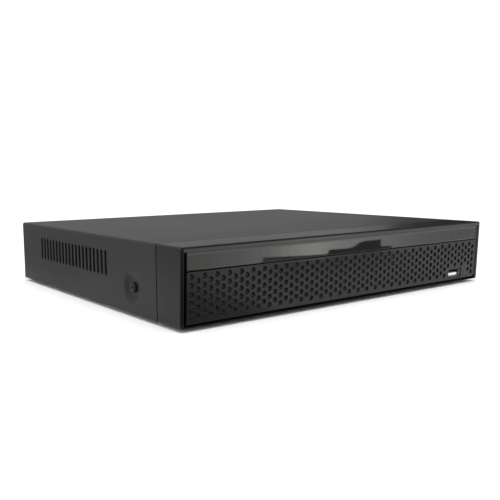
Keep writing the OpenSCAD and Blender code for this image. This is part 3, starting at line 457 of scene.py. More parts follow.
# Lighter than the panel plastic: painted light in the pits, against their shade
PIT_PAINTED_LIGHT = surface("pit_painted_light_plastic", (0.016, 0.016, 0.015), 0.30, grain=2400, bump=0.06,
                      vary=0.08, specular=0.5)
SOCKET_STEEL = surface("socket_steel", (0.20, 0.20, 0.19), 0.34, 1.0, grain=1400, bump=0.05,
                       vary=0.05, wear=0.1)
STRIP_GLOSS = surface("strip_gloss", (0.012, 0.012, 0.0115), 0.07, grain=300, bump=0.01, vary=0.06,
                      rough_vary=0.015, wear=0.1, coat=0.15, specular=0.45)
MARK_INK = surface("mark_ink", (0.010, 0.010, 0.010), 0.6, grain=3000, bump=0.05, vary=0.1, specular=0.2)
CHROME = surface("plated_steel", (0.62, 0.61, 0.58), 0.24, 1.0, grain=1400, bump=0.03, vary=0.03, wear=0.1,
                 rough_vary=0.03)
TIN = surface("bright_tin", (0.60, 0.60, 0.60), 0.36, 1.0, grain=900, bump=0.03, vary=0.03, wear=0.1,
              rough_vary=0.03)
CERAMIC = surface("chip_ceramic", (0.28, 0.20, 0.13), 0.5, grain=1800, bump=0.05, vary=0.15)
YELLOW_SHEATH = surface("yellow_sheath", (0.62, 0.42, 0.03), 0.45, grain=1100, bump=0.06, vary=0.08)
STEEL = surface("zinc_sheet", (0.52, 0.53, 0.54), 0.36, 1.0, grain=420, bump=0.08, vary=0.10, wear=0.2)
BLACK_SHEET = surface("black_sheet", (0.030, 0.030, 0.031), 0.5, grain=1500, bump=0.3,
                      depth=0.00009, vary=0.08)
WHITE_PLASTIC = surface("white_plastic", (0.80, 0.80, 0.77), 0.42, grain=1200, bump=0.05, vary=0.03, wear=0.1)
BLACK_PLASTIC = surface("black_plastic", (0.022, 0.022, 0.022), 0.45, grain=1800, bump=0.10, vary=0.12)
BLACK_SCREW = surface("black_oxide", (0.010, 0.010, 0.011), 0.30, 0.3, grain=1600, bump=0.08, vary=0.12,
                      wear=0.2, specular=0.15)
SCREW_ZINC = surface("zinc_plate", (0.60, 0.61, 0.60), 0.28, 1.0, grain=1400, bump=0.06, vary=0.06)
GOLD = surface("gold_flash", (0.80, 0.56, 0.22), 0.25, 1.0, grain=1400, bump=0.04, vary=0.06)
BRASS = surface("brass_turned", (0.70, 0.50, 0.22), 0.3, 1.0, grain=900, bump=0.06, vary=0.08)
ALUMINIUM = surface("aluminium_extruded", (0.62, 0.63, 0.65), 0.34, 1.0, grain=500, bump=0.10, vary=0.06,
                    stretch=(1, 0.05, 1))
# Black-coated casting, made darker still as painted shade where the drive shows through the cover's vents
CAST_AND_SHADE_BLACK = surface("coated_casting_and_painted_shade", (0.008, 0.008, 0.008), 0.6, grain=1100, bump=0.35, depth=0.0001, vary=0.10,
               specular=0.15)
MIRROR_DISC = surface("disc_mirror", (0.80, 0.81, 0.83), 0.05, 1.0, grain=200, bump=0.005, vary=0.02,
                      rough_vary=0.01)
RUBBER = surface("foot_rubber", (0.020, 0.020, 0.020), 0.78, grain=900, bump=0.3, depth=0.0001, vary=0.15)
CAN_SLEEVE = surface("can_sleeve", (0.014, 0.020, 0.060), 0.3, grain=700, bump=0.04, vary=0.1)
BLUE_PLASTIC = surface("blue_plastic", (0.015, 0.06, 0.24), 0.42, grain=1500, bump=0.06, vary=0.08)
GREEN_PLASTIC = surface("green_plastic", (0.020, 0.24, 0.09), 0.42, grain=1500, bump=0.06, vary=0.08)
RED_SHEATH = surface("red_sheath", (0.36, 0.020, 0.018), 0.45, grain=1100, bump=0.06, vary=0.08)
BLACK_SHEATH = surface("black_sheath", (0.018, 0.018, 0.018), 0.5, grain=1100, bump=0.1, vary=0.12)
WHITE_SHEATH = surface("white_sheath", (0.68, 0.67, 0.62), 0.5, grain=1100, bump=0.06, vary=0.05)
PRINT_WHITE = surface("print_white", (0.62, 0.62, 0.60), 0.6, grain=1800, bump=0.04, vary=0.06)
BLACK_GLOSS = surface("black_gloss", (0.012, 0.012, 0.012), 0.18, grain=900, bump=0.03, vary=0.1)
LENS = surface("lamp_lens", (0.55, 0.56, 0.50), 0.15, grain=900, bump=0.02, vary=0.05)
STAGE_WHITE = surface("stage_paper", (0.93, 0.93, 0.93), 0.8, grain=120, bump=0.02, vary=0.01, wear=0.0)


def board_material(name):
    """Solder mask with traces under it and small pads."""
    m = Nodes(name)
    green, track = (0.006, 0.055, 0.022), (0.014, 0.105, 0.042)
    place = m.node("ShaderNodeTexCoord")
    wave = m.node("ShaderNodeTexBrick")
    wave.inputs["Scale"].default_value = 260.0
    wave.inputs["Mortar Size"].default_value = 0.035
    m.link(place.outputs["Object"], wave.inputs["Vector"])
    wave.inputs["Color1"].default_value = (1, 1, 1, 1)
    wave.inputs["Color2"].default_value = (0.6, 0.6, 0.6, 1)
    wave.inputs["Mortar"].default_value = (0, 0, 0, 1)
    base = m.mix(wave.outputs["Fac"], green, track)
    slow = m.noise(25.0, 2.0)
    tinted = m.mix(m.span(slow, 0.0, 0.5), base, shade(green, 1.5))
    m.link(tinted, m.shader.inputs["Base Color"])
    m.link(m.span(slow, 0.28, 0.40), m.shader.inputs["Roughness"])
    m.bump(wave.outputs["Fac"], 0.25, 0.00005)
    return m.material


BOARD_GREEN = board_material("board_green")


# ---------------------------------------------------------------- case front

def leaned(x, z, depth):
    """A point at a height z and a depth behind the leaning front face."""
    return (x, FRONT_Y + (TOP_Z - z) * math.tan(LEAN) + depth, z)


def case_ring(inset, depth, corner, leaning=True):
    """A rounded rectangle round the case's front view, drawn in by inset, at a depth behind the front."""
    x, z0, z1 = HALF_W - inset, BASE_Z + inset, TOP_Z - inset
    outline = rounded(-x, z0, x, z1, max(corner, 0.0002), 6)
    if leaning:
        return [leaned(u, v, depth) for u, v in outline]
    return [(u, depth, v) for u, v in outline]


def frame_ring(side, low, high, depth, corner):
    """A ring with its own inset at the sides, the bottom and the top."""
    outline = rounded(-HALF_W + side, BASE_Z + low, HALF_W - side, TOP_Z - high, corner, 6)
    return [leaned(u, v, depth) for u, v in outline]


LIP_W = 2.0 * MM
RECESS_TOP = 2.7 * MM
RECESS_LOW = 0.8 * MM
RECESS_D = 3.4 * MM
WEB_Y = FRONT_Y + FRONT_LEAN + RECESS_D + 1.8 * MM


def make_bezel():
    """Outer shell, black bead round the front edge, grey lip, and the groove behind it; the bead and the
    groove are black as painted shade.
    """
    m = Mesh()
    wall = 2.0 * MM
    bead = 0.8 * MM
    corner = 1.6 * MM
    back_loop = rounded(-HALF_W + wall, BASE_Z + wall, HALF_W - wall, TOP_Z - wall, 0.8 * MM, 6)
    inner = [[(u, y, v) for u, v in back_loop] for y in (WEB_Y, SEAM_Y)]
    back = [case_ring(0.45 * MM, SEAM_Y, corner, False),
            case_ring(0.13 * MM, SEAM_Y - 0.13 * MM, corner, False),
            case_ring(0, SEAM_Y - 0.45 * MM, corner, False)]
    sides = [case_ring(0, SEAM_Y - k * MM, corner, False) for k in (6, 14)]
    front = [case_ring(0, 1.0 * MM, corner)]
    bead_rings = [case_ring(0, 0.75 * MM, corner), case_ring(0.25 * MM, 0.22 * MM, corner),
                  case_ring(0.7 * MM, 0.02 * MM, corner), case_ring(bead, 0.35 * MM, corner)]
    lip = [frame_ring(bead + 0.05 * MM, min(bead, RECESS_LOW - 0.3 * MM),
                      bead + 0.05 * MM, 0.35 * MM, 1.0 * MM),
           frame_ring(1.0 * MM, 0.55 * MM, 1.0 * MM, 0.08 * MM, 1.0 * MM),
           frame_ring(LIP_W - 0.2 * MM, RECESS_LOW - 0.15 * MM, RECESS_TOP - 0.2 * MM, 0.08 * MM, 0.9 * MM),
           frame_ring(LIP_W, RECESS_LOW, RECESS_TOP, 0.3 * MM, 0.8 * MM)]
    groove = [frame_ring(LIP_W, RECESS_LOW, RECESS_TOP, 0.6 * MM, 0.8 * MM),
              frame_ring(LIP_W, RECESS_LOW, RECESS_TOP, RECESS_D, 0.8 * MM)]
    # The bead and the groove take the black (mark 1): painted shade
    runs = ((inner + back + sides + front, 0), (bead_rings, 1), (lip, 2), (groove, 1))
    last = None
    for rings, mark in runs:
        m.mark = mark
        for points in rings:
            ring = m.ring(points)
            if last:
                m.bridge(last, ring)
            last = ring
    # The lip is black below the panels as painted shade, the lip's left side takes the bezel plastic, and the
    # groove's right wall takes the lip plastic as painted light
    for k, ids in enumerate(m.faces):
        spots = [m.points[i] for i in ids]
        if m.marks[k] == 2 and max(p[2] for p in spots) < BASE_Z + 1.0 * MM:
            m.marks[k] = 1
        elif m.marks[k] == 2 and max(p[0] for p in spots) < -HALF_W + LIP_W + 0.1 * MM:
            m.marks[k] = 0
        elif (m.marks[k] == 1 and max(p[1] for p in spots) > FRONT_Y + 0.5 * MM
              and min(p[0] for p in spots) > HALF_W - LIP_W - 0.01 * MM
              and max(p[0] for p in spots) < HALF_W - 1.9 * MM):
            m.marks[k] = 2
    # The web behind the panels, with windows for the socket, the lamps and the receiver
    first = list(range(len(inner[0])))
    m.mark = 1
    windows = [rounded(*w, 0.4 * MM, 3) for w in bezel_windows()]
    front_loop = rounded(-HALF_W + LIP_W, BASE_Z + RECESS_LOW, HALF_W - LIP_W,
                         TOP_Z - RECESS_TOP, 0.8 * MM, 6)
    front_ids = last + [i for w in windows for i in m.ring([leaned(u, v, RECESS_D) for u, v in w])]
    back_ids = first + [i for w in windows for i in m.ring([(u, WEB_Y, v) for u, v in w])]
    m.fill(front_ids, front_loop, windows)
    m.fill(back_ids, back_loop, windows)
    n = len(front_loop)
    for w in windows:
        size = len(w)
        m.bridge(front_ids[n:n + size], back_ids[n:n + size])
        n += size
    # Pale shelves at the back of the groove, above the strip and at its right: painted light that lifts the
    # groove's shade
    m.mark = 2
    shelf = leaned(0, TOP_Z - RECESS_TOP, 0.9 * MM)[1]
    right = HALF_W - LIP_W
    m.box((-HALF_W + LIP_W + 2 * MM, shelf, TOP_Z - RECESS_TOP - 1.6 * MM),
          (right, shelf + 0.3 * MM, TOP_Z - RECESS_TOP))
    low = leaned(0, BASE_Z + 3 * MM, 0.9 * MM)[1]
    rings = [[(right - 1.7 * MM, y, z), (right, y, z), (right, y + 0.3 * MM, z),
              (right - 1.7 * MM, y + 0.3 * MM, z)]
             for y, z in ((low, BASE_Z + 3 * MM), (shelf, TOP_Z - RECESS_TOP - 1.6 * MM))]
    m.loft(rings)
    add_piece("bezel", m, [BEZEL_PLASTIC, PAINTED_SHADE_BLACK, LIP_AND_LIGHT_PLASTIC], "front_bezel")


def bezel_windows():
    """Windows of the web, as x0, z0, x1, z1."""
    usb = USB_MID.xz
    windows = [(usb.x - 7.3 * MM, usb.y - 3.45 * MM, usb.x + 7.3 * MM, usb.y + 3.45 * MM)]
    windows += [(x - 2.2 * MM, LED_Z - 1.7 * MM, x + 2.2 * MM, LED_Z + 1.7 * MM) for x in LED_XS]
    windows.append((IR_X - 4 * MM, LED_Z - 2.5 * MM, IR_X + 4 * MM, LED_Z + 2.5 * MM))
    return windows


LED_XS = [HALF_W - 33.5 * MM, HALF_W - 23 * MM, HALF_W - 12.5 * MM]
LED_Z = BASE_Z + 34.4 * MM
IR_X = HALF_W - 50 * MM


def make_face_panel():
    """Plate with a staggered field of blind round pits with soft rims, and the front socket's window."""
    m = Mesh()
    columns, rows = 62, 5
    step_x, step_z = 4.04 * MM, 4.68 * MM
    r = 1.58 * MM
    depth, plate = 1.8 * MM, 2.6 * MM
    usb = USB_MID.xz
    x0 = -(columns - 1) * step_x / 2
    z0 = BASE_Z + 26.7 * MM
    low, high = BASE_Z + 1.9 * MM, BASE_Z + 29.4 * MM
    pits = []
    for i in range(columns):
        for j in range(rows):
            x, z = x0 + i * step_x, z0 - j * step_z - (i % 2) * step_z / 2
            if abs(x - usb.x) > 12.4 * MM or z - usb.y > 5.9 * MM:
                pits.append((circle(x, z, r, 20), depth))
    window = rounded(usb.x - 7.25 * MM, usb.y - 3.4 * MM, usb.x + 7.25 * MM, usb.y + 3.4 * MM, 0.9 * MM, 4)
    outer = rounded(FACE_LO.x, low, FACE_HI.x, high, 0.8 * MM, 4)
    # The pits take a lighter plastic as painted light against their shade; the plate's edge walls take the
    # black as painted shade
    m.plate(outer, lambda u, v, w: leaned(u, v, RECESS_D - plate + w), plate, 0.22 * MM, [window], pits,
            wall_mark=1, pit_mark=2)
    add_piece("pitted_panel", m, [PANEL_PLASTIC, PAINTED_SHADE_BLACK, PIT_PAINTED_LIGHT],
                     "face_panel")


def make_gloss_strip():
    """Polished strip, slightly crowned."""
    low, high = BASE_Z + 30.0 * MM, BASE_Z + 38.9 * MM
    plate = 2.6 * MM
    crown = 0.03 * MM
    mid, half = (low + high) / 2, (high - low) / 2

    def place(u, v, w):
        rise = crown * (1 - ((v - mid) / half) ** 2)
        return leaned(u, v, RECESS_D - plate + w - rise * (1 - w / plate))

    m = Mesh()
    bands = 8
    e = 0.35 * MM
    # Cut into bands so that the crown is a curve and not one flat face
    outline = []
    zs = [low + (high - low) * k / bands for k in range(bands + 1)]
    outline += [(STRIP_LO.x, z) for z in reversed(zs)]
    outline += [(STRIP_HI.x, z) for z in zs]
    lines = [(k, len(outline) - 1 - k) for k in range(1, bands)]
    # The strip's edge walls take the black: painted shade in the gap round the strip
    m.plate(outline, place, plate, e, lines=lines, wall_mark=1)
    # Printed marks of the three lamps: power, drive and network, each over a small window
    m.mark = 2
    zm = LED_Z + 0.6 * MM
    for k, x in enumerate(LED_XS):
        add_mark(m, circle(x, LED_Z - 2.9 * MM, 0.32 * MM, 16), place)
        if k == 0:
            add_mark(m, circle(x, zm, 0.95 * MM, 24), place, circle(x, zm, 0.72 * MM, 24))
            add_mark(m, rounded(x - 0.14 * MM, zm, x + 0.14 * MM, zm + 1.3 * MM, 0.05 * MM, 1), place)
        elif k == 1:
            for level in (-0.9, -0.2, 0.5):
                add_mark(m, rounded(x - 0.9 * MM, zm + level * MM, x + 0.9 * MM, zm + (level + 0.35) * MM,
                                    0.15 * MM, 2),
                         place)
        else:
            add_mark(m, rounded(x - 0.35 * MM, zm + 0.3 * MM, x + 0.35 * MM, zm + 0.9 * MM,
                                0.05 * MM, 1), place)
            add_mark(m, rounded(x - 0.06 * MM, zm - 0.4 * MM, x + 0.06 * MM, zm + 0.3 * MM,
                                0.02 * MM, 1), place)
            for s in (-0.8, 0.8):
                add_mark(m, rounded(x + (s - 0.3) * MM, zm - 0.9 * MM, x + (s + 0.3) * MM, zm - 0.4 * MM,
                                    0.05 * MM, 1),
                         place)
    add_piece("gloss_strip_panel", m, [STRIP_GLOSS, PAINTED_SHADE_BLACK, MARK_INK],
                     "gloss_strip")


def add_mark(m, outline, place, hole=None):
    """A thin printed patch just above a surface."""
    high, low = -0.015 * MM, 0.03 * MM
    loops = [outline] + ([hole] if hole else [])
    tops = [m.placed(place, loop, high) for loop in loops]
    feet = [m.placed(place, loop, low) for loop in loops]
    m.fill([i for ring in tops for i in ring], outline, loops[1:])
    for a, b in zip(tops, feet):
        m.bridge(a, b)


# ---------------------------------------------------------------- cover

def make_cover():
    """One folded sheet, cut flat with its vents, bent round the two top edges, and the rear flange."""
    t = SHEET_T
    bend_r = 1.5 * MM
    bend_steps = 6
    edge = 0.18 * MM
    z_low = COVER_LO.z
    leg = TOP_Z - bend_r - z_low
    arc = math.pi / 2 * bend_r
    flat = 2 * (HALF_W - bend_r)
    total = 2 * leg + 2 * arc + flat
    y0, y1 = COVER_LO.y, REAR_Y

    def profile(u, w):
        """Place across the case and height of a point of the sheet, from its left foot to its right foot."""
        right = u > total / 2
        d = total - u if right else u
        if d <= leg:
            x, z = -HALF_W + w, z_low + d
        elif d < leg + arc:
            a = (d - leg) / bend_r
            r = bend_r - w
            x, z = -HALF_W + bend_r - r * math.cos(a), TOP_Z - bend_r + r * math.sin(a)
        else:
            x, z = -HALF_W + bend_r + (d - leg - arc), TOP_Z - w
        return (-x if right else x), z

    dimple_r, floor_r, dimple_d = 9.0 * MM, 4.9 * MM, 2.0 * MM
    hole_r = 1.7 * MM
    lip_r = dimple_r + 0.9 * MM

    def dimple_depth(distance):
        """How far the sheet is pressed in at a distance from a dimple's centre, with soft shoulders."""
        if distance >= lip_r:
            return 0.0
        if distance <= floor_r - 0.4 * MM:
            return dimple_d
        k = (lip_r - distance) / (lip_r - floor_r + 0.4 * MM)
        return dimple_d * k * k * (3 - 2 * k)

    def place(u, v, w):
        x, z = profile(u, w)
        d = math.hypot(v - DIMPLE_Y, z - DIMPLE_Z)
        x -= math.copysign(dimple_depth(d), x) if abs(x) > HALF_W - 2 * t else 0
        return (x, v, z)

    vent_w, vent_h = 2.8 * MM, 15.6 * MM
    vent_z = BASE_Z + 18.3 * MM + vent_h / 2
    holes, pads = [], []
    for side in (0, 1):
        def foot(z):
            return total - (z - z_low) if side else z - z_low
        for k in range(20):
            y = FRONT_Y + 86.2 * MM + k * 5.42 * MM
            u, a, b = foot(vent_z), vent_h / 2, vent_w / 2
            holes.append(rounded(u - a, y - b, u + a, y + b, b * 0.999, 7))
        pads.append((foot(DIMPLE_Z), DIMPLE_Y))
    outline = [(0, y0), (leg, y0)]
    outline += [(leg + arc * k / bend_steps, y0) for k in range(1, bend_steps + 1)]
    outline += [(total - leg - arc + arc * k / bend_steps, y0) for k in range(bend_steps + 1)]
    outline += [(total, y0)]
    back = [(u, y1) for u, _ in reversed(outline)]
    n = len(outline)
    loop = outline + back
    lines = [(k, 2 * n - 1 - k) for k in range(1, n - 1)]
    m = Mesh()
    # The dimples are pressed rings, joined to round gaps in the sheet
    fronts, backs = m.plate(loop, place, t, edge, holes, lines=lines,
                            gaps=[circle(u, v, lip_r, 48) for u, v in pads])
    slope = lip_r - floor_r + 0.4 * MM
    radii = [lip_r - slope * k / 14 for k in range(1, 15)] + [3.2 * MM, hole_r]
    for (u, v), front, back in zip(pads, fronts, backs):
        rings = [front] + [m.placed(place, circle(u, v, r, 48), 0) for r in radii]
        rings += [m.placed(place, circle(u, v, r, 48), t) for r in reversed(radii)] + [back]
        m.skin(rings)
    # Rear flange, turned in at the sides and the top
    flange_w, flange_h = 10 * MM, 8 * MM
    f = Mesh()
    outer = rounded(-HALF_W + 0.2 * MM, z_low, HALF_W - 0.2 * MM, TOP_Z - 0.1 * MM, 1.3 * MM, 5)
    shape = [p for p in outer if p[1] > z_low + 2 * MM]
    shape = [(HALF_W - 0.2 * MM, z_low)] + shape + [(-HALF_W + 0.2 * MM, z_low), (-HALF_W + flange_w, z_low),
             (-HALF_W + flange_w, TOP_Z - flange_h), (HALF_W - flange_w, TOP_Z - flange_h),
             (HALF_W - flange_w, z_low)]
    screws = [circle(x, z, 1.7 * MM, 24) for x, z in COVER_SCREWS]
    f.plate(shape, lambda a, b, w: (a, REAR_Y - w, b), t, 0.15 * MM, screws)
    base = len(m.points)
    m.points += f.points
    m.faces += [tuple(i + base for i in face) for face in f.faces]
    m.marks += f.marks
    # The front edge takes the black: painted shade of the seam line
    for k, ids in enumerate(m.faces):
        if max(m.points[i][1] for i in ids) < SEAM_Y + 0.6 * MM:
            m.marks[k] = 1
    add_piece("cover_sheet", m, [COVER_PAINT, PAINTED_SHADE_BLACK], "top_cover", body="cover")


# ---------------------------------------------------------------- fasteners

def add_screw(m, place, head_r=3.0 * MM, head_h=1.9 * MM, shank_r=1.45 * MM, length=6 * MM, turn=0.6):
    """A pan-head screw with a cross recess. h in place(x, y, h) runs up from the head's underside."""
    n = 40
    crown = [(shank_r, -length + 0.5 * MM), (shank_r, 0), (head_r - 0.15 * MM, 0), (head_r, 0.15 * MM),
             (head_r, 0.45 * head_h), (head_r * 0.93, 0.72 * head_h), (head_r * 0.80, 0.90 * head_h),
             (head_r * 0.62, head_h)]
    rings = [m.placed(place, circle(0, 0, r, n), h) for r, h in crown]
    tip = m.placed(place, circle(0, 0, shank_r * 0.6, n), -length)
    m.bridge(tip, rings[0])
    m.face(reversed(tip))
    m.skin(rings)
    rim = circle(0, 0, head_r * 0.62, n)
    slot = cross(0, 0, head_r * 0.5, head_r * 0.2, turn)
    edge_ids = m.placed(place, slot, head_h)
    ids = rings[-1] + edge_ids
    m.fill(ids, rim, [slot])
    floor_ids = m.placed(place, [(x * 0.7, y * 0.7) for x, y in slot], head_h - 1.1 * MM)
    m.bridge(edge_ids, floor_ids)
    m.face(floor_ids)


def along(axis, origin):
    """A place() function for lathes and screws: h runs along the axis from the origin."""
    axis = Vector(axis).normalized()
    side = axis.orthogonal().normalized() if abs(axis.z) > 0.9 else axis.cross(Vector((0, 0, 1))).normalized()
    other = axis.cross(side)
    origin = Vector(origin)
    return lambda x, y, h: origin + side * x + other * y + axis * h


def make_cover_screws():
    m = Mesh()
    for s, turn in ((-1, 0.35), (1, 0.9)):
        place = along((s, 0, 0), (s * (HALF_W - 2.0 * MM), DIMPLE_Y, DIMPLE_Z))
        add_screw(m, place, turn=turn)
    for (x, z), turn in zip(COVER_SCREWS, (0.2, 0.8, 1.3)):
        add_screw(m, along((0, 1, 0), (x, REAR_Y, z)), length=5 * MM, turn=turn)
    add_piece("cover_screw_set", m, BLACK_SCREW, "cover_screws", body="cover")


# ---------------------------------------------------------------- front socket

def make_front_usb():
    """Folded shell with rolled mouth, and the tongue with its four contacts."""
    w, h, t = 13.1 * MM, 5.7 * MM, 0.3 * MM
    y0, y1 = USB_LO.y, USB_HI.y
    m = Mesh()

    def ring(grow, y):
        a, b = w / 2 + grow, h / 2 + grow
        corner = max(0.5 * MM + grow, 0.1 * MM)
        outline = rounded(USB_MID.x - a, USB_MID.z - b, USB_MID.x + a, USB_MID.z + b, corner, 5)
        return [(u, y, v) for u, v in outline]

    flare = 0.08 * MM
    m.loft([ring(0, y1), ring(0, y0 + 0.8 * MM), ring(flare * 0.6, y0 + 0.3 * MM),
            ring(flare, y0 + 0.05 * MM), ring(flare - 0.12 * MM, y0),
            ring(flare - t, y0 + 0.12 * MM), ring(-t, y0 + 0.9 * MM), ring(-t, y1)],
           closed=True)
    add_piece("front_socket_shell", m, SOCKET_STEEL, "front_usb_shell")
    lo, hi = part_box("front_usb_tongue")
    g = Mesh()
    g.box(lo, hi, 0.25 * MM)
    g.mark = 1
    for k in range(4):
        x = lo.x + (hi.x - lo.x) * (k + 0.5) / 4
        g.box((x - 0.6 * MM, lo.y + 1.2 * MM, hi.z - 0.05 * MM),
              (x + 0.6 * MM, hi.y - 1 * MM, hi.z + 0.08 * MM), 0.04 * MM)
    add_piece("front_socket_tongue", g, [WHITE_PLASTIC, GOLD], "front_usb_tongue")


# ---------------------------------------------------------------- stage, light and camera

def make_stage():
    """A wide pale floor that meets the white surroundings far off."""
    m = Mesh()
    rings = [m.ring([(x, y, 0) for x, y in circle(0, 0, r, 64)]) for r in (0.5, 4.0, 20.0)]
    m.face(rings[0])
    for a, b in zip(rings, rings[1:]):
        m.bridge(b, a)
    data = bpy.data.meshes.new("stage_floor")
    data.from_pydata(m.points, [], m.faces)
    data.shade_smooth()
    new_object("stage_floor", data, STAGE_WHITE)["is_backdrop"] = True


def upright(y, *points):
    """An outline given as x and z, standing across the view at y."""
    return [(x, y, z) for x, z in points]


def add_card(name, points, colour, strength):
    """A studio card beside the subject that shows only in its reflections. points are in millimetres."""
    m = Nodes(name)
    glow = m.shader.inputs
    glow["Base Color"].default_value = (0, 0, 0, 1)
    glow["Specular IOR Level"].default_value = 0.0
    glow["Emission Color"].default_value = (*colour, 1)
    glow["Emission Strength"].default_value = strength
    data = bpy.data.meshes.new(name)
    data.from_pydata([tuple(c * MM for c in p) for p in points], [], [list(range(len(points)))])
    card = new_object(name, data, m.material)
    card.visible_camera = False
    card.visible_diffuse = False
    card.visible_shadow = False
    card.visible_transmission = False
    card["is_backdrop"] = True


GLOW_BASE = 0.8
GLOW_CARDS = 40
GLOW_START = -120
GLOW_STEP = 8


def strip_glow(x):
    """How brightly a window glows at x: a wide soft glow with a narrow one in it."""
    wide = 1.6 * math.exp(-((x - 20) / 80) ** 2)
    narrow = 1.1 * math.exp(-(x / 25) ** 2)
    return GLOW_BASE + wide + narrow


def make_cards():
    """Things of the room that the polished strip, the face and the cover reflect."""
    white = (1, 1, 1)
    dark = (0.5, 0.5, 0.5)
    add_card("left_dark_card",
             upright(-160, (-42, 12), (16.5, 12), (16.5, 20.5), (-8, 22), (-42, 24)), white, 0.2)
    add_card("dark_card", upright(-160, (16, 12), (84.5, 12), (84, 20.5), (81, 22), (70.5, 22.5), (69.5, 29),
                                  (52.5, 29), (46.5, 28), (43.5, 26), (39.5, 24.5), (35, 24),
                                  (18, 24.5), (16, 24)), dark, 0.02)
    for k in range(GLOW_CARDS):
        x = GLOW_START + GLOW_STEP * k
        end = x + GLOW_STEP
        glow = upright(-164, (x, 16), (end, 16), (end, 34), (x, 34))
        add_card(f"glow_card_{k}", glow, (0.98, 1.0, 0.94), strip_glow((x + end) / 2))
    add_card("low_card",
             ((-190, -125, 0.4), (-60, -125, 0.4), (-80, -300, 0.4), (-260, -300, 0.4)), white, 0.1)
    add_card("side_card", ((-330, 250, 0), (-330, 900, 0), (-330, 900, 260), (-330, 250, 260)), white, 0.7)
    add_card("side_low_card",
             ((-145, 60, 0.4), (-320, 60, 0.4), (-320, 600, 0.4), (-145, 600, 0.4)), white, 0.55)
    add_card("high_card",
             ((-420, -100, 220), (-420, 400, 220), (-340, 400, 560), (-340, -100, 560)), white, 3.2)
    add_card("far_card", upright(400, (640, 0), (2200, 0), (2200, 1200), (640, 1200)), dark, 0.05)
    add_card("grey_card", upright(400, (-700, 0), (640, 0), (640, 1200), (-700, 1200)), white, 0.68)


def add_light(name, place, target, size, power):
    """A soft rectangular lamp that points at a target."""
    data = bpy.data.lights.new(name, "AREA")
    data.shape = "RECTANGLE"
    data.size, data.size_y = size
    data.energy = power
    lamp = new_object(name, data)
    lamp.location = place
    lamp.rotation_euler = (Vector(target) - Vector(place)).to_track_quat("-Z", "Y").to_euler()


def make_lights():
    world = bpy.data.worlds.new("studio")
    world.use_nodes = True
    world.node_tree.nodes["Background"].inputs["Color"].default_value = (1, 1, 1, 1)
    world.node_tree.nodes["Background"].inputs["Strength"].default_value = 1.1
    bpy.context.scene.world = world
    add_light("key", (-0.35, -0.45, 1.65), (0, 0, 0), (1.2, 1.2), 14)
    add_light("fill", (1.2, -1.4, 0.7), (0, 0, 0), (1.0, 1.0), 6)


def make_camera():
    """The photograph's viewing angle: 38 degrees to the left of the front, 7 degrees up."""
    turn, lift, roll = math.radians(-37.97), math.radians(6.73), math.radians(-0.39)
    back = Vector((math.sin(turn) * math.cos(lift), -math.cos(turn) * math.cos(lift), math.sin(lift)))
    right = Vector((math.cos(turn), math.sin(turn), 0))
    up = back.cross(right)
    right, up = right * math.cos(roll) + up * math.sin(roll), up * math.cos(roll) - right * math.sin(roll)
    data = bpy.data.cameras.new("camera")
    data.lens = 48.13
    data.sensor_width = 36
    data.clip_start = 0.01
    data.clip_end = 50
    camera = new_object("camera", data)
    body_mid = Vector((0, (FRONT_Y + REAR_Y) / 2, (TOP_Z + BASE_Z) / 2))
    aside, distance = 2.01, 506.4
    spot = body_mid + (right * aside + back * distance) * MM
    camera.matrix_world = Matrix.Translation(spot) @ Matrix((right, up, back)).transposed().to_4x4()
    bpy.context.scene.camera = camera


# ---------------------------------------------------------------- rear sockets

SOCKET_Y = PANEL_LO.y - 0.1 * MM
PANEL_Y1 = PANEL_HI.y
BOARD_TOP = BOARD_HI.z
BNC_PLACES = [((-110 + 14 * i) * MM, (16.6 + 13.5 * j) * MM) for i in range(4) for j in range(2)]
VGA = (-28 * MM, 18.6 * MM)
VGA_POST = 12.495 * MM
SWITCH = (104 * MM, 20.4 * MM)


def refined(node, name, slot, materials, width, steps=2, body="chassis"):
    """A piece shaped as a CAD node, with its flat faces merged and its edges rounded."""
    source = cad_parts[node]
    bm = bmesh.new()
    bm.from_mesh(source.data)
    bm.transform(source.matrix_world)
    bmesh.ops.remove_doubles(bm, verts=bm.verts, dist=1e-6)
    bmesh.ops.dissolve_limit(bm, angle_limit=math.radians(1.5), verts=bm.verts, edges=bm.edges)
    data = bpy.data.meshes.new(name)
    bm.to_mesh(data)
    bm.free()
    piece = new_object(name, data, materials)
    data.shade_smooth()
    data.set_sharp_from_angle(angle=math.radians(30))
    bevel = piece.modifiers.new("rounded", "BEVEL")
    bevel.width = width
    bevel.segments = steps
    bevel.limit_method = "ANGLE"
    bevel.angle_limit = math.radians(40)
    bevel.harden_normals = True
    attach(piece, body)
    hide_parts(node)
    return piece


def softened(points, r, n=4):
    """A polygon with each corner cut back by r and rounded."""
    out = []
    for i, p in enumerate(points):
        p, a, b = Vector(p), Vector(points[i - 1]), Vector(points[(i + 1) % len(points)])
        p0 = p + (a - p).normalized() * r
        p1 = p + (b - p).normalized() * r
        for k in range(n + 1):
            t = k / n
            out.append(tuple(p0 * (1 - t) ** 2 + p * 2 * t * (1 - t) + p1 * t * t))
    return out


def d_shape(grow):
    """The monitor socket's outline, anticlockwise."""
    x, z = VGA
    top, low, h = 8.6 * MM + grow, 7.2 * MM + grow, 4.1 * MM + grow
    return softened([(x - low, z - h), (x + low, z - h), (x + top, z + h), (x - top, z + h)], 1.6 * MM + grow)


STROKES = {"a": (0, 2, 1, 2), "b": (1, 1, 1, 2), "c": (1, 0, 1, 1), "d": (0, 0, 1, 0), "e": (0, 0, 0, 1),
           "f": (0, 1, 0, 2), "g": (0, 1, 1, 1)}
DIGITS = {1: "bc", 2: "abged", 3: "abgcd", 4: "fgbc", 5: "afgcd", 6: "afgcde", 7: "abc", 8: "abcdefg"}


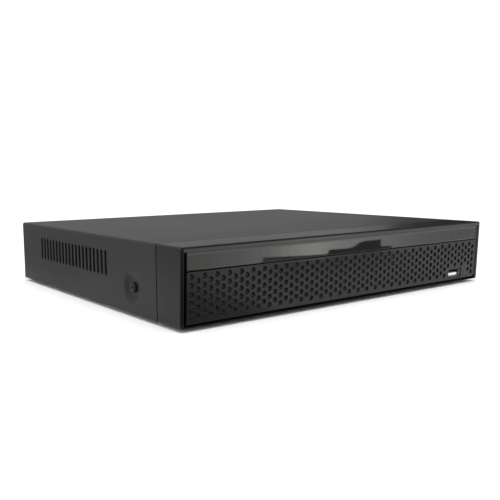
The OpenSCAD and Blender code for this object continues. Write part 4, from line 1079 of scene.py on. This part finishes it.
def add_digit(m, value, x, z, size, place):
    """A printed number made of straight strokes."""
    w = size * 0.09
    for s in DIGITS[value]:
        x0, z0, x1, z1 = (v * size / 2 for v in STROKES[s])
        add_mark(m, rounded(x + x0 - w, z + z0 - w, x + x1 + w, z + z1 + w, w * 0.5, 1), place)


def make_rear_panel():
    """Sheet with soft cut edges, a hole for each socket, and printed numbers and signs."""
    m = Mesh()
    hw, z0, z1 = PANEL_HI.x, PANEL_LO.z, PANEL_HI.z
    nx, n0, n1 = 120.8 * MM, 12.8 * MM, 21.6 * MM
    r = 1.5 * MM
    top = [p for p in rounded(-hw, z0, hw, z1, r, 5) if p[1] > (z0 + z1) / 2]
    outer = [(-hw, z0), (hw, z0), (hw, n0), (nx, n0), (nx, n1), (hw, n1)] + top
    outer += [(-hw, n1), (-nx, n1), (-nx, n0), (-hw, n0)]
    play = 0.4 * MM

    def hole(x, z, w, h, corner=0.3):
        return rounded((x - w / 2) * MM, (z - h / 2) * MM, (x + w / 2) * MM, (z + h / 2) * MM, corner * MM, 2)

    holes = [circle(x, z, 6.3 * MM, 40) for x, z in BNC_PLACES]
    holes += [circle(-54 * MM, z * MM, 5.2 * MM, 36) for z in (17.0, 30.2)]
    holes.append(d_shape(play))
    holes += [circle(VGA[0] + s * VGA_POST, VGA[1], 1.9 * MM, 24) for s in (-1, 1)]
    holes += [hole(0, 13.9, 15.8, 6.6), hole(22, 18.4, 14.0, 16.4), hole(44, 17.3, 16.8, 14.2),
              hole(66, 15.6, 16.2, 10.8), hole(104, 20.4, 13.4, 19.4)]
    holes += [circle(x, z, 1.7 * MM, 24) for x, z in COVER_SCREWS + PANEL_SCREWS]
    holes += [circle(*INLET, 4.3 * MM, 32), circle(*EARTH, 1.45 * MM, 24)]

    def place(u, v, w):
        return (u, PANEL_Y1 - w, v)

    m.plate(outer, place, PANEL_HI.y - PANEL_LO.y, 0.12 * MM, holes)
    m.mark = 1

    def printed(u, v, w):
        return (-u, PANEL_Y1 - w, v)

    for k, (x, _) in enumerate(BNC_PLACES):
        shift = 2.2 * MM if k % 2 == 0 else -1.0 * MM
        add_digit(m, k + 1, -x - shift, 7.3 * MM, 1.9 * MM, printed)
    for k in range(3):
        half = (1.5 - 0.5 * k) * MM
        z = (34.8 - 0.55 * k) * MM
        add_mark(m, rounded(85 * MM - half, z, 85 * MM + half, z + 0.25 * MM, 0.05 * MM, 1), place)
    for x, arm in ((66, 6.5), (44, 6.0), (22, 6.0), (0, 6.0), (-28, 7.0)):
        z = 7.4 * MM
        add_mark(m, rounded((x - arm) * MM, z, (x + arm) * MM, z + 0.25 * MM, 0.05 * MM, 1), place)
    add_piece("rear_sheet", m, [BLACK_SHEET, PRINT_WHITE], "rear_panel")


def make_bnc_sockets():
    """Turned barrels with knurled roots and locking studs, pale insulators, and hollow gold contacts."""
    barrels, insulators, contacts = Mesh(), Mesh(), Mesh()
    length = 14.5
    knurl = []
    for k in range(9):
        h = 2.3 + k * 0.5
        knurl += [(4.78, h), (5.0, h + 0.2), (5.0, h + 0.3), (4.78, h + 0.5)]
    wall = [(4.05, 0), (5.8, 0), (6.0, 0.2), (6.0, 1.95), (5.75, 2.2)] + knurl
    wall += [(5.0, 6.9), (5.0, 9.25), (4.8, 9.35), (4.8, length - 0.45), (4.62, length - 0.1), (4.4, length),
             (4.2, length - 0.05), (4.05, length - 0.3), (4.05, 0)]
    stud = [(0, 4.2), (0.95, 4.2), (0.95, 5.45), (0.86, 5.63), (0.6, 5.7), (0, 5.7)]
    pale = [(1.1, 0), (4.04, 0), (4.04, 2), (2.4, 2.05), (2.4, 12.2), (2.2, 12.5), (1.25, 12.5),
            (1.1, 12.35), (1.1, 0)]
    pin = [(0, 0), (1.09, 0), (1.09, 11.8), (0.95, 12.1), (0.8, 12.1), (0.7, 11.9), (0.7, 4), (0, 4)]

    for x, z in BNC_PLACES:
        place = along((0, 1, 0), (x, SOCKET_Y, z))
        barrels.lathe(in_metres(wall), place, 48)
        for s in (-1, 1):
            barrels.lathe(in_metres(stud), along((s, 0, 0), (x, 113.85 * MM, z)), 20)
        insulators.lathe(in_metres(pale), place, 32)
        contacts.lathe(in_metres(pin), place, 20)
    add_piece("camera_socket_barrels", barrels, CHROME, "bnc_barrels")
    add_piece("camera_socket_insulators", insulators, WHITE_PLASTIC, "bnc_insulators")
    add_piece("camera_socket_contacts", contacts, GOLD, "bnc_contacts")


def make_sound_sockets():
    rings = Mesh()
    ring = [(3.5, 2.0), (4.0, 2.0), (4.15, 2.2), (4.15, 9.9), (3.95, 10.4), (3.75, 10.5), (3.55, 10.4),
            (3.5, 10.2), (3.5, 2.0)]
    for z in (17.0 * MM, 30.2 * MM):
        rings.lathe(in_metres(ring), along((0, 1, 0), (-54 * MM, SOCKET_Y, z)), 44)
    add_piece("sound_socket_rings", rings, CHROME, "rca_barrels")
    refined("rca_body", "sound_socket_body", "black_plastic", BLACK_PLASTIC, 0.25 * MM)


def make_monitor_socket():
    """Drawn D-shaped shell, blue insert with three rows of contact holes, and hexagonal posts."""
    m = Mesh()
    x, z = VGA

    def at(y):
        return lambda u, v, w: (u, y - w, v)

    m.box(((x - 15.4 * MM), SOCKET_Y - 12 * MM, BOARD_TOP), (x + 15.4 * MM, SOCKET_Y, z + 6.3 * MM), 0.4 * MM)
    pins = [(circle(x + (i * 2.29 + j * 2.29 / 3) * MM, z + j * 1.98 * MM, 0.52 * MM, 14), 4 * MM)
            for j in (-1, 0, 1) for i in range(-2, 3)]
    m.plate(d_shape(-0.6 * MM), at(SOCKET_Y + 6 * MM), 6 * MM, 0.25 * MM, pits=pins)
    m.mark = 1
    levels = ((0, 0.0), (0, 6.9), (-0.12, 7.15), (-0.25, 7.2), (-0.4, 7.15), (-0.5, 6.9), (-0.5, 0.0))
    rings = [m.ring([(u, SOCKET_Y + h * MM, v) for u, v in d_shape(g * MM)]) for g, h in levels]
    for a, b in zip(rings, rings[1:] + rings[:1]):
        m.bridge(a, b)
    add_piece("monitor_socket", m, [BLUE_PLASTIC, CHROME], "vga_socket")
    posts = Mesh()
    for s in (-1, 1):
        place = along((0, 1, 0), (x + s * VGA_POST, PANEL_Y1, z))
        # Six-sided post with a turned end, a threaded bore and a plain shank through the panel
        levels = ((2.74, 0.0), (2.74, 5.0), (2.35, 5.6), (1.62, 5.6), (1.42, 5.35), (1.42, 0.6), (1.2, 0.0))
        rings = [posts.placed(place, circle(0, 0, r * MM, 6), h * MM) for r, h in levels[:2]]
        posts.bridge(*rings)
        turned = [posts.placed(place, circle(0, 0, r * MM, 30), h * MM) for r, h in levels[2:]]
        posts.fill(rings[1] + turned[0], circle(0, 0, 2.74 * MM, 6), [circle(0, 0, 2.3 * MM, 30)])
        posts.skin(turned)
        posts.face(turned[-1])
        posts.lathe([(0, -1.0 * MM), (1.8 * MM, -1.0 * MM), (1.8 * MM, 0.0), (0, 0.0)], place, 24)
        posts.face(rings[0])
    add_piece("monitor_socket_posts", posts, CHROME, "vga_nuts")


def add_contacts(m, count, x0, x1, y0, y1, z, w, h=0.1 * MM):
    """A row of thin flat contacts."""
    for k in range(count):
        x = x0 + (x1 - x0) * (k + 0.5) / count
        m.box((x - w / 2, y0, z - h / 2), (x + w / 2, y1, z + h / 2), 0.03 * MM)


def make_small_sockets():
    refined("hdmi_socket", "video_socket", "nickel", CHROME, 0.3 * MM)
    refined("rear_usb_shell", "rear_socket_shell", "nickel", CHROME, 0.25 * MM)
    tongues = Mesh()
    lo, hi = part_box("rear_usb_tongues")
    for z in (14.9 * MM, 22.5 * MM):
        tongues.mark = 0
        tongues.box((lo.x, lo.y, z), (hi.x, hi.y, z + 1.8 * MM), 0.25 * MM)
        tongues.mark = 1
        add_contacts(tongues, 4, lo.x, hi.x, lo.y + 1 * MM, hi.y - 1.2 * MM, z, 1.2 * MM)
    add_piece("rear_socket_tongues", tongues, [WHITE_PLASTIC, GOLD], "rear_usb_tongues")
    refined("lan_socket", "network_socket", "nickel", CHROME, 0.3 * MM)
    lan = Mesh()
    y1 = SOCKET_Y + 1.6 * MM
    add_contacts(lan, 8, 39.4 * MM, 48.6 * MM, y1 - 12 * MM, y1 - 2.5 * MM, 19.6 * MM, 0.45 * MM, 0.25 * MM)
    add_piece("network_contacts", lan, GOLD)
    lamps = Mesh()
    for x in (38.7, 49.3):
        lamps.box(((x - 1.2) * MM, y1 - 0.5 * MM, 21.3 * MM),
                  ((x + 1.2) * MM, y1 + 0.05 * MM, 23.0 * MM), 0.2 * MM)
    add_piece("network_lamps", lamps, LENS)
    refined("alarm_terminal", "terminal_block", "green_plastic", GREEN_PLASTIC, 0.3 * MM)
    screws = Mesh()
    for k in (-1, 0, 1):
        x = (66 + 5.08 * k) * MM
        place = along((0, 0, 1), (x, SOCKET_Y + 3.6 * MM, 16.7 * MM))
        rim = circle(0, 0, 1.45 * MM, 24)
        slot = rounded(-0.85 * MM, -0.2 * MM, 0.85 * MM, 0.2 * MM, 0.1 * MM, 2)
        screws.plate(rim, lambda u, v, w, p=place: p(u, v, 1.6 * MM - w), 1.6 * MM, 0.12 * MM,
                     pits=[(slot, 0.6 * MM)])
    add_piece("terminal_screws", screws, CHROME)
    refined("dc_jack", "power_inlet", "black_plastic", BLACK_PLASTIC, 0.25 * MM)
    pin = [(0, 0), (1.0, 0), (1.0, 8.9), (0.8, 9.4), (0.4, 9.6), (0, 9.6)]
    rod = Mesh()
    rod.lathe(in_metres(pin), along((0, 1, 0), (INLET[0], SOCKET_Y - 9 * MM, INLET[1])), 24)
    add_piece("power_inlet_pin", rod, CHROME, "dc_jack_pin")


def make_switch():
    """Switch body with a soft frame, and the rocker with its two printed signs."""
    refined("switch_body", "power_switch_body", "black_plastic", BLACK_PLASTIC, 0.35 * MM)
    refined("power_rocker", "rocker_key", "black_gloss", BLACK_GLOSS, 0.35 * MM, 3, body="rocker")
    marks = Mesh()
    tilt = math.radians(-12)
    x, z0 = SWITCH
    y0 = PANEL_LO.y - 1.0 * MM

    def on_half(sign):
        slope = math.atan2(1.7, 7.6)

        def place(u, v, w):
            # The two halves rise from the valley at the pivot's level
            out = 2.0 * MM + (v * math.sin(slope)) * sign - w
            up = v * math.cos(slope)
            y = y0 + out * math.cos(tilt) - up * math.sin(tilt)
            return (x + u, y, z0 + out * math.sin(tilt) + up * math.cos(tilt))
        return place

    add_mark(marks, circle(0, 4.2 * MM, 1.5 * MM, 28), on_half(1), circle(0, 4.2 * MM, 1.15 * MM, 28))
    add_mark(marks, rounded(-0.18 * MM, -5.8 * MM, 0.18 * MM, -2.8 * MM, 0.1 * MM, 2), on_half(-1))
    add_piece("rocker_signs", marks, PRINT_WHITE, body="rocker")


def make_chassis_screws():
    m = Mesh()
    for (x, z), turn in zip(PANEL_SCREWS, (0.4, 1.0, 0.1)):
        add_screw(m, along((0, 1, 0), (x, PANEL_Y1, z)), 2.6 * MM, 1.6 * MM, 1.45 * MM, 5 * MM, turn)
    add_piece("panel_screw_set", m, SCREW_ZINC, "rear_panel_screws")
    g = Mesh()
    add_screw(g, along((0, 1, 0), (EARTH[0], PANEL_Y1, EARTH[1])), 3.4 * MM, 2.2 * MM, 1.45 * MM, 6 * MM, 0.5)
    add_piece("earth_screw", g, SCREW_ZINC, "ground_screw")


# ---------------------------------------------------------------- inside: parts that keep their CAD shape

CHASSIS_PARTS = (
    ("chassis_tray", "tray", "steel_tray", STEEL, 0.2),
    ("light_pipes", "lamp_pipes", "clear_pipe", LENS, 0.25),
    ("front_board", "front_board_sheet", "board_green", BOARD_GREEN, 0.08),
    ("front_leds", "front_lamps", "lamp", LENS, 0.25),
    ("ir_receiver", "remote_receiver", "black_gloss", BLACK_GLOSS, 0.2),
    ("front_board_screws", "front_board_screw_set", "zinc_screw", SCREW_ZINC, 0.08),
    ("bezel_screws", "bezel_screw_set", "zinc_screw", SCREW_ZINC, 0.08),
    ("board_screws", "board_screw_set", "zinc_screw", SCREW_ZINC, 0.08),
    ("hdd_mount_screws", "drive_screw_set", "zinc_screw", SCREW_ZINC, 0.08),
    ("main_board", "main_board_sheet", "board_green", BOARD_GREEN, 0.1),
    ("board_standoffs", "standoff_set", "brass", BRASS, 0.2),
    ("processor", "processor_chip", "black_plastic", BLACK_PLASTIC, 0.15),
    ("heatsink", "finned_heatsink", "alu", ALUMINIUM, 0.15),
    ("coin_cell_holder", "cell_holder", "black_plastic", BLACK_PLASTIC, 0.3),
    ("sata_sockets", "drive_lead_sockets", "black_plastic", BLACK_PLASTIC, 0.25),
    ("bnc_bodies", "camera_socket_bodies", "black_plastic", BLACK_PLASTIC, 0.4),
    ("hdd_base", "drive_casting", "alu_cast", CAST_AND_SHADE_BLACK, 0.5),
    ("hdd_board", "drive_board", "board_green", BOARD_GREEN, 0.12),
    ("hdd_magnet", "drive_magnet", "nickel", CHROME, 0.4),
    ("fan_frame", "fan_housing", "black_plastic", BLACK_PLASTIC, 0.3),
    ("feet", "foot_set", "rubber_foot", RUBBER, 0.45),
)


def make_chassis_parts():
    for node, name, slot, material, edge in CHASSIS_PARTS:
        refined(node, name, slot, material, edge * MM)
    refined("side_screw_nuts", "rivet_nut_set", "zinc_screw", SCREW_ZINC, 0.2 * MM, body="cover")
    refined("fan_rotor", "fan_impeller", "black_plastic", BLACK_PLASTIC, 0.12 * MM, body="fan")
    refined("hdd_head_arm", "head_arm_stack", "alu", ALUMINIUM, 0.12 * MM, body="head_arm")


# ---------------------------------------------------------------- inside: main board

BOARD_X0, BOARD_Y0 = BOARD_LO.x / MM, BOARD_LO.y / MM
BOARD_Z = BOARD_HI.z
CHIPS = ([(14 + 18 * i, 40, 12, 12, True) for i in range(4)]
         + [(134, 28 + 16 * i, 9, 13, False) for i in range(2)]
         + [(214, 31, 10, 10, True), (196, 44, 8, 6, False), (110, 30, 14, 9, False)])
CANS = [(84, 28.5), (94, 28.5), (84, 39.5), (94, 39.5), (104, 28.5)]
LEG = [(0, 0.75), (0.35, 0.75), (0.55, 0.18), (1.0, 0.18), (1.0, 0.02), (0.45, 0.02), (0.25, 0.6), (0, 0.6)]


def brick(m, x0, y0, z0, x1, y1, z1):
    """A small block, in millimetres."""
    rings = [[(x * MM, y * MM, z * MM) for x, y in ((x0, y0), (x1, y0), (x1, y1), (x0, y1))]
             for z in (z0, z1)]
    m.loft(rings)


def add_chip(m, x0, y0, w, d, all_sides):
    """A moulded chip with bent legs and a round mark by its first leg. Sizes are in millimetres."""
    z = BOARD_Z
    m.mark = 0
    outline = rounded(x0 * MM, y0 * MM, (x0 + w) * MM, (y0 + d) * MM, 0.15 * MM, 2)
    dot = circle((x0 + 1.4) * MM, (y0 + 1.4) * MM, 0.5 * MM, 20)
    m.plate(outline, lambda u, v, k: (u, v, z + 1.4 * MM - k), 1.25 * MM, 0.12 * MM, pits=[(dot, 0.09 * MM)])
    m.mark = 1
    mid_x, mid_y = x0 + w / 2, y0 + d / 2
    sides = [((0, 1), d / 2, w), ((0, -1), d / 2, w)] if all_sides else []
    sides += [((1, 0), w / 2, d), ((-1, 0), w / 2, d)]
    for (ox, oy), reach, run in sides:
        count = int((run - 1.2) / 0.8)
        for k in range(count + 1):
            t = (k - count / 2) * 0.8
            rings = []
            for side in (t - 0.16, t + 0.16):
                rings.append([((mid_x + ox * (reach + s) + abs(oy) * side) * MM,
                               (mid_y + oy * (reach + s) + abs(ox) * side) * MM, z + h * MM) for s, h in LEG])
            m.loft(rings)


def make_chips():
    m = Mesh()
    for x, y, w, d, all_sides in CHIPS:
        add_chip(m, BOARD_X0 + x, BOARD_Y0 + y, w, d, all_sides)
    add_piece("chip_set", m, [BLACK_PLASTIC, TIN], "board_chips")


def make_cans():
    """Electrolytic capacitors: shrunk sleeve with a pale stripe, and a scored metal top."""
    side = [(0, 0), (3.7, 0), (4.0, 0.3), (4.0, 0.9), (3.72, 1.4), (4.0, 1.9), (4.0, 9.5), (3.9, 9.8),
            (3.6, 10), (3.35, 9.95), (3.3, 9.7), (0, 9.7)]
    m = Mesh()
    for x, y in CANS:
        place = along((0, 0, 1), (x * MM, y * MM, BOARD_Z))
        first = len(m.faces)
        m.mark = 0
        m.lathe(in_metres(side), place, 48)
        for k in range(first, len(m.faces)):
            spots = [Vector(m.points[i]) for i in m.faces[k]]
            mid = sum(spots, Vector()) / len(spots) - Vector((x * MM, y * MM, 0))
            if abs(math.atan2(mid.x, -mid.y)) < 0.42 and mid.xy.length > 3.6 * MM:
                m.marks[k] = 1
        m.mark = 2
        rim = circle(0, 0, 3.3 * MM, 40)
        score = cross(0, 0, 2.3 * MM, 0.3 * MM, 0.4)
        m.plate(rim, lambda u, v, w, p=place: p(u, v, 9.85 * MM - w), 0.5 * MM, 0.06 * MM,
                pits=[(score, 0.16 * MM)])
    add_piece("capacitor_set", m, [CAN_SLEEVE, PRINT_WHITE, TIN], "capacitors")


def make_coin_cell():
    lo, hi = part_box("coin_cell")
    mid = (lo + hi) / 2
    place = along((0, 0, 1), (mid.x, mid.y, lo.z))
    r, h = hi.x - mid.x, hi.z - lo.z
    m = Mesh()
    profile = [(r - 1.2 * MM, 0), (r - 0.3 * MM, 0.4 * MM), (r, 1.0 * MM), (r, h - 0.25 * MM)]
    rings = [m.placed(place, circle(0, 0, q, 64), k) for q, k in profile]
    m.face(reversed(rings[0]))
    m.skin(rings)
    top = circle(0, 0, r, 64)
    plus = cross(0, 0, 2.6 * MM, 0.8 * MM, 0.3)
    m.plate(top, lambda u, v, w: place(u, v, h - w), 0.25 * MM, 0.22 * MM, pits=[(plus, 0.12 * MM)])
    add_piece("clock_cell", m, TIN, "coin_cell")


def taken_spots():
    """Rectangles of the main board that already hold something, in millimetres."""
    spots = [(BOARD_X0 + x - 2, BOARD_Y0 + y - 2, BOARD_X0 + x + w + 2, BOARD_Y0 + y + d + 2)
             for x, y, w, d, _ in CHIPS]
    spots += [(x - 5, y - 5, x + 5, y + 5) for x, y in CANS]
    spots += [(x - 5, y - 5, x + 5, y + 5) for x in (-113, 0, 113) for y in (22.5, 76.5)]
    for node in ("heatsink", "coin_cell_holder"):
        lo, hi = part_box(node)
        spots.append((lo.x / MM - 1, lo.y / MM - 1, hi.x / MM + 1, hi.y / MM + 1))
    spots += [(-20, 15, 50, 26), (95, 15, 109, 25), (82, 41, 92, 53), (-118, 81, 118, 106)]
    return spots


def make_small_parts():
    """Surface parts scattered over the free areas of the main board, and printed outlines round the chips."""
    dice = random.Random(588)
    spots = taken_spots()
    m = Mesh()
    for _ in range(900):
        long_side, wide, tall = dice.choice(((1.6, 0.8, 0.5), (1.6, 0.8, 0.5), (2.0, 1.25, 0.6),
                                             (3.2, 1.6, 1.1)))
        w, d = (long_side, wide) if dice.random() < 0.5 else (wide, long_side)
        x = round(dice.uniform(-115, 113) * 2) / 2
        y = round(dice.uniform(18, 80) * 2) / 2
        gap = 0.7
        if any(x + w + gap > a and x - gap < c and y + d + gap > b and y - gap < e for a, b, c, e in spots):
            continue
        spots.append((x, y, x + w, y + d))
        z = BOARD_Z / MM
        m.mark = 0 if tall < 0.55 else 1
        brick(m, x, y, z, x + w, y + d, z + tall)
        m.mark = 2
        for end in (0, 1):
            if w > d:
                a = x - 0.04 + end * (w - 0.35)
                brick(m, a, y - 0.04, z, a + 0.43, y + d + 0.04, z + tall + 0.04)
            else:
                a = y - 0.04 + end * (d - 0.35)
                brick(m, x - 0.04, a, z, x + w + 0.04, a + 0.43, z + tall + 0.04)
    m.mark = 3
    z = BOARD_Z / MM
    for x, y, w, d, _ in CHIPS:
        x0, y0 = BOARD_X0 + x - 1.6, BOARD_Y0 + y - 1.6
        x1, y1 = BOARD_X0 + x + w + 1.6, BOARD_Y0 + y + d + 1.6
        for a, b, c, e in ((x0, y0, x1, y0 + 0.2), (x0, y1 - 0.2, x1, y1), (x0, y0, x0 + 0.2, y1),
                           (x1 - 0.2, y0, x1, y1)):
            brick(m, a, b, z, c, e, z + 0.02)
    add_piece("board_small_parts", m, [BLACK_PLASTIC, CERAMIC, TIN, PRINT_WHITE])


# ---------------------------------------------------------------- inside: drive

DRIVE_LO, DRIVE_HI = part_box("hdd_lid")


def make_drive_lid():
    """Stamped lid: a low border with screws, and a raised panel that follows the disc."""
    x0, y0, x1, y1 = DRIVE_LO.x, DRIVE_LO.y, DRIVE_HI.x, DRIVE_HI.y
    step = 0.5 * MM
    border = DRIVE_HI.z - step
    disc_lo, disc_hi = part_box("hdd_platter")
    cx, cy = (disc_lo.x + disc_hi.x) / 2, (disc_lo.y + disc_hi.y) / 2
    disc_r = (y1 - y0) / 2 - 2 * MM
    reach = (y1 - y0) / 2 - 4 * MM
    a = math.atan2(reach, math.sqrt(disc_r ** 2 - reach ** 2))
    arc = [a + (2 * math.pi - 2 * a) * k / 72 for k in range(73)]
    raised = [(cx + disc_r * math.cos(t), cy + disc_r * math.sin(t)) for t in arc]
    right = x1 - 4 * MM
    for px, py, start in ((right - 6 * MM, cy - reach + 6 * MM, -90),
                          (right - 6 * MM, cy + reach - 6 * MM, 0)):
        for k in range(11):
            t = math.radians(start + 9 * k)
            raised.append((px + 6 * MM * math.cos(t), py + 6 * MM * math.sin(t)))
    arm_lo, arm_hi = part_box("hdd_magnet")
    ax, ay = (arm_lo.x + arm_hi.x) / 2, (arm_lo.y + arm_hi.y) / 2
    pits = [(circle(cx, cy, 17 * MM, 64), 0.3 * MM), (circle(-15.2 * MM, -18.6 * MM, 6.5 * MM, 40), 0.3 * MM),
            (rounded(ax - 11 * MM, ay - 6 * MM, ax + 11 * MM, ay + 8 * MM, 3 * MM, 6), 0.3 * MM),
            (rounded(-22 * MM, -80 * MM, 18 * MM, -48 * MM, 3 * MM, 6), 0.25 * MM)]
    m = Mesh()
    # The low border takes the dark casting colour: painted shade where it shows through the cover's vents
    m.mark = 1
    m.plate(rounded(x0, y0, x1, y1, 2.2 * MM, 6), lambda u, v, w: (u, v, border - w),
            border - DRIVE_LO.z, 0.3 * MM)
    m.mark = 0
    m.plate(raised, lambda u, v, w: (u, v, DRIVE_HI.z - w), step + 0.2 * MM, 0.4 * MM, pits=pits)
    add_piece("drive_lid", m, [TIN, CAST_AND_SHADE_BLACK], "hdd_lid")
    screws = Mesh()
    spots = ((-111, -80.5), (-111, 7.3), (-22, -85.3), (-22, 12.1), (26.2, -84.8), (26.2, 11.6))
    for k, (x, y) in enumerate(spots):
        place = along((0, 0, 1), (x * MM, y * MM, border))
        add_screw(screws, place, 1.6 * MM, 0.5 * MM, 0.95 * MM, 1.4 * MM, 0.5 * k)
    add_screw(screws, along((0, 0, 1), (cx, cy, DRIVE_HI.z - 0.3 * MM)), 2.2 * MM, 0.3 * MM, 1.3 * MM,
              1.4 * MM, 0.2)
    add_piece("drive_lid_screws", screws, SCREW_ZINC)


def make_disc():
    lo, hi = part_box("hdd_platter")
    cx, cy, r, t = (lo.x + hi.x) / 2, (lo.y + hi.y) / 2, (hi.x - lo.x) / 2, hi.z - lo.z
    hole, e = 12.5 * MM, 0.12 * MM
    m = Mesh()
    m.lathe([(hole, e), (hole + e, 0), (r - e, 0), (r, e), (r, t - e), (r - e, t), (hole + e, t),
             (hole, t - e), (hole, e)], along((0, 0, 1), (cx, cy, lo.z)), 128)
    add_piece("drive_disc", m, MIRROR_DISC, "hdd_platter", body="spindle")
    refined("hdd_hub", "disc_hub", "alu", ALUMINIUM, 0.25 * MM, body="spindle")
    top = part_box("hdd_hub")[1].z
    screws = Mesh()
    for k in range(6):
        t = math.radians(60 * k)
        place = along((0, 0, 1), (cx + 9 * MM * math.cos(t), cy + 9 * MM * math.sin(t), top))
        add_screw(screws, place, 1.5 * MM, 0.5 * MM, 0.9 * MM, 1.4 * MM, t)
    add_piece("disc_clamp_screws", screws, SCREW_ZINC, body="spindle")


# ---------------------------------------------------------------- inside: leads

def bend(a, b, c, d, n):
    """A curve from a to d that leaves towards b and arrives from c."""
    a, b, c, d = Vector(a), Vector(b), Vector(c), Vector(d)
    out = []
    for k in range(n + 1):
        t = k / n
        u = 1 - t
        out.append(a * u ** 3 + b * 3 * u * u * t + c * 3 * u * t * t + d * t ** 3)
    return out


def add_wires(m, path, wires, r, flat=1.0):
    """Round wires side by side along a path, in millimetres. wires are pairs of offset and material."""
    last = len(path) - 1
    frames = []
    for k, p in enumerate(path):
        ahead = (path[min(k + 1, last)] - path[max(k - 1, 0)]).normalized()
        side = ahead.cross(Vector((0, 0, 1))).normalized()
        frames.append((p, side, side.cross(ahead)))
    for offset, mark in wires:
        m.mark = mark
        rings = []
        for p, side, up in frames:
            mid = p + side * offset
            rings.append([(mid + side * x + up * y * flat) * MM for x, y in circle(0, 0, r, 14)])
        m.loft(rings)


def plug(m, x0, y0, z0, x1, y1, z1, edge=0.45):
    m.box((x0 * MM, y0 * MM, z0 * MM), (x1 * MM, y1 * MM, z1 * MM), edge * MM)


def make_leads():
    data = Mesh()
    plug(data, 32.2, -41.4, 6.1, 46.3, -30.4, 11.1)
    plug(data, 33.4, 19.9, 12.8, 46.6, 23.1, 26.8)
    plug(data, 34.4, 13.4, 20.8, 45.6, 20.0, 26.8)
    start, end = (46.2, -35.9, 9.1), (40.0, 13.5, 23.6)
    path = bend(start, (60.2, -35.9, 9.1), (40.0, -7.5, 23.6), end, 48)
    add_wires(data, path, [(-1.9, 0), (0.0, 0), (1.9, 0)], 1.0)
    add_piece("drive_data_lead", data, [RED_SHEATH], "sata_data_cable")
    power = Mesh()
    plug(power, 32.2, -70.4, 6.1, 44.3, -48.4, 11.7)
    plug(power, -16.6, 19.9, 12.8, -7.4, 23.1, 25.8)
    plug(power, -16.6, 15.3, 20.8, -7.4, 20.1, 25.8)
    crest, end = (40.0, 17.0, 31.0), (-7.5, 17.7, 23.3)
    path = bend((44.2, -59.4, 9.1), (74.2, -59.4, 9.1), (70.0, 9.0, 31.0), crest, 48)
    path += bend(crest, (25.0, 21.0, 31.0), (8.5, 17.7, 26.3), end, 32)[1:]
    add_wires(power, path, [(-1.8, 1), (-0.6, 0), (0.6, 0), (1.8, 2)], 0.6)
    add_piece("drive_power_lead", power, [BLACK_SHEATH, YELLOW_SHEATH, RED_SHEATH],
              "sata_power_cable")
    front = Mesh()
    plug(front, 87, -100, 13, 97, -94.9, 19, 0.35)
    plug(front, 97, 18.5, 10.6, 107, 23.5, 18.6, 0.35)
    path = bend((92, -95, 16), (92, -69, 16), (102, -57.5, 11.1), (102, 18.5, 15.1), 64)
    add_wires(front, path, [((k - 3.5) * 0.84, 0) for k in range(8)], 0.43)
    add_piece("front_board_lead", front, [WHITE_SHEATH], "front_cable")
    fan = Mesh()
    plug(fan, 85, 43.5, 10.6, 90, 51, 17.6, 0.3)
    path = bend((75.1, 53.5, 27.2), (84.1, 53.5, 27.2), (78.2, 46, 22.6), (85.2, 46, 15.6), 32)
    add_wires(fan, path, [(-1.0, 0), (0.0, 0), (1.0, 1)], 0.5)
    add_piece("fan_lead", fan, [BLACK_SHEATH, RED_SHEATH], "fan_cable")


bpy.context.scene.view_settings.view_transform = "Standard"
make_stage()
make_lights()
make_cards()
make_camera()
make_bezel()
make_face_panel()
make_gloss_strip()
make_cover()
make_cover_screws()
make_front_usb()
make_rear_panel()
make_bnc_sockets()
make_sound_sockets()
make_monitor_socket()
make_small_sockets()
make_switch()
make_chassis_screws()
make_chassis_parts()
make_chips()
make_cans()
make_coin_cell()
make_small_parts()
make_drive_lid()
make_disc()
make_leads()


def corners(bounds):
    """A box as plain lists of numbers."""
    return [[float(v) for v in corner] for corner in bounds]


{"cad": corners(cad_bounds), "visual": corners(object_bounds())}
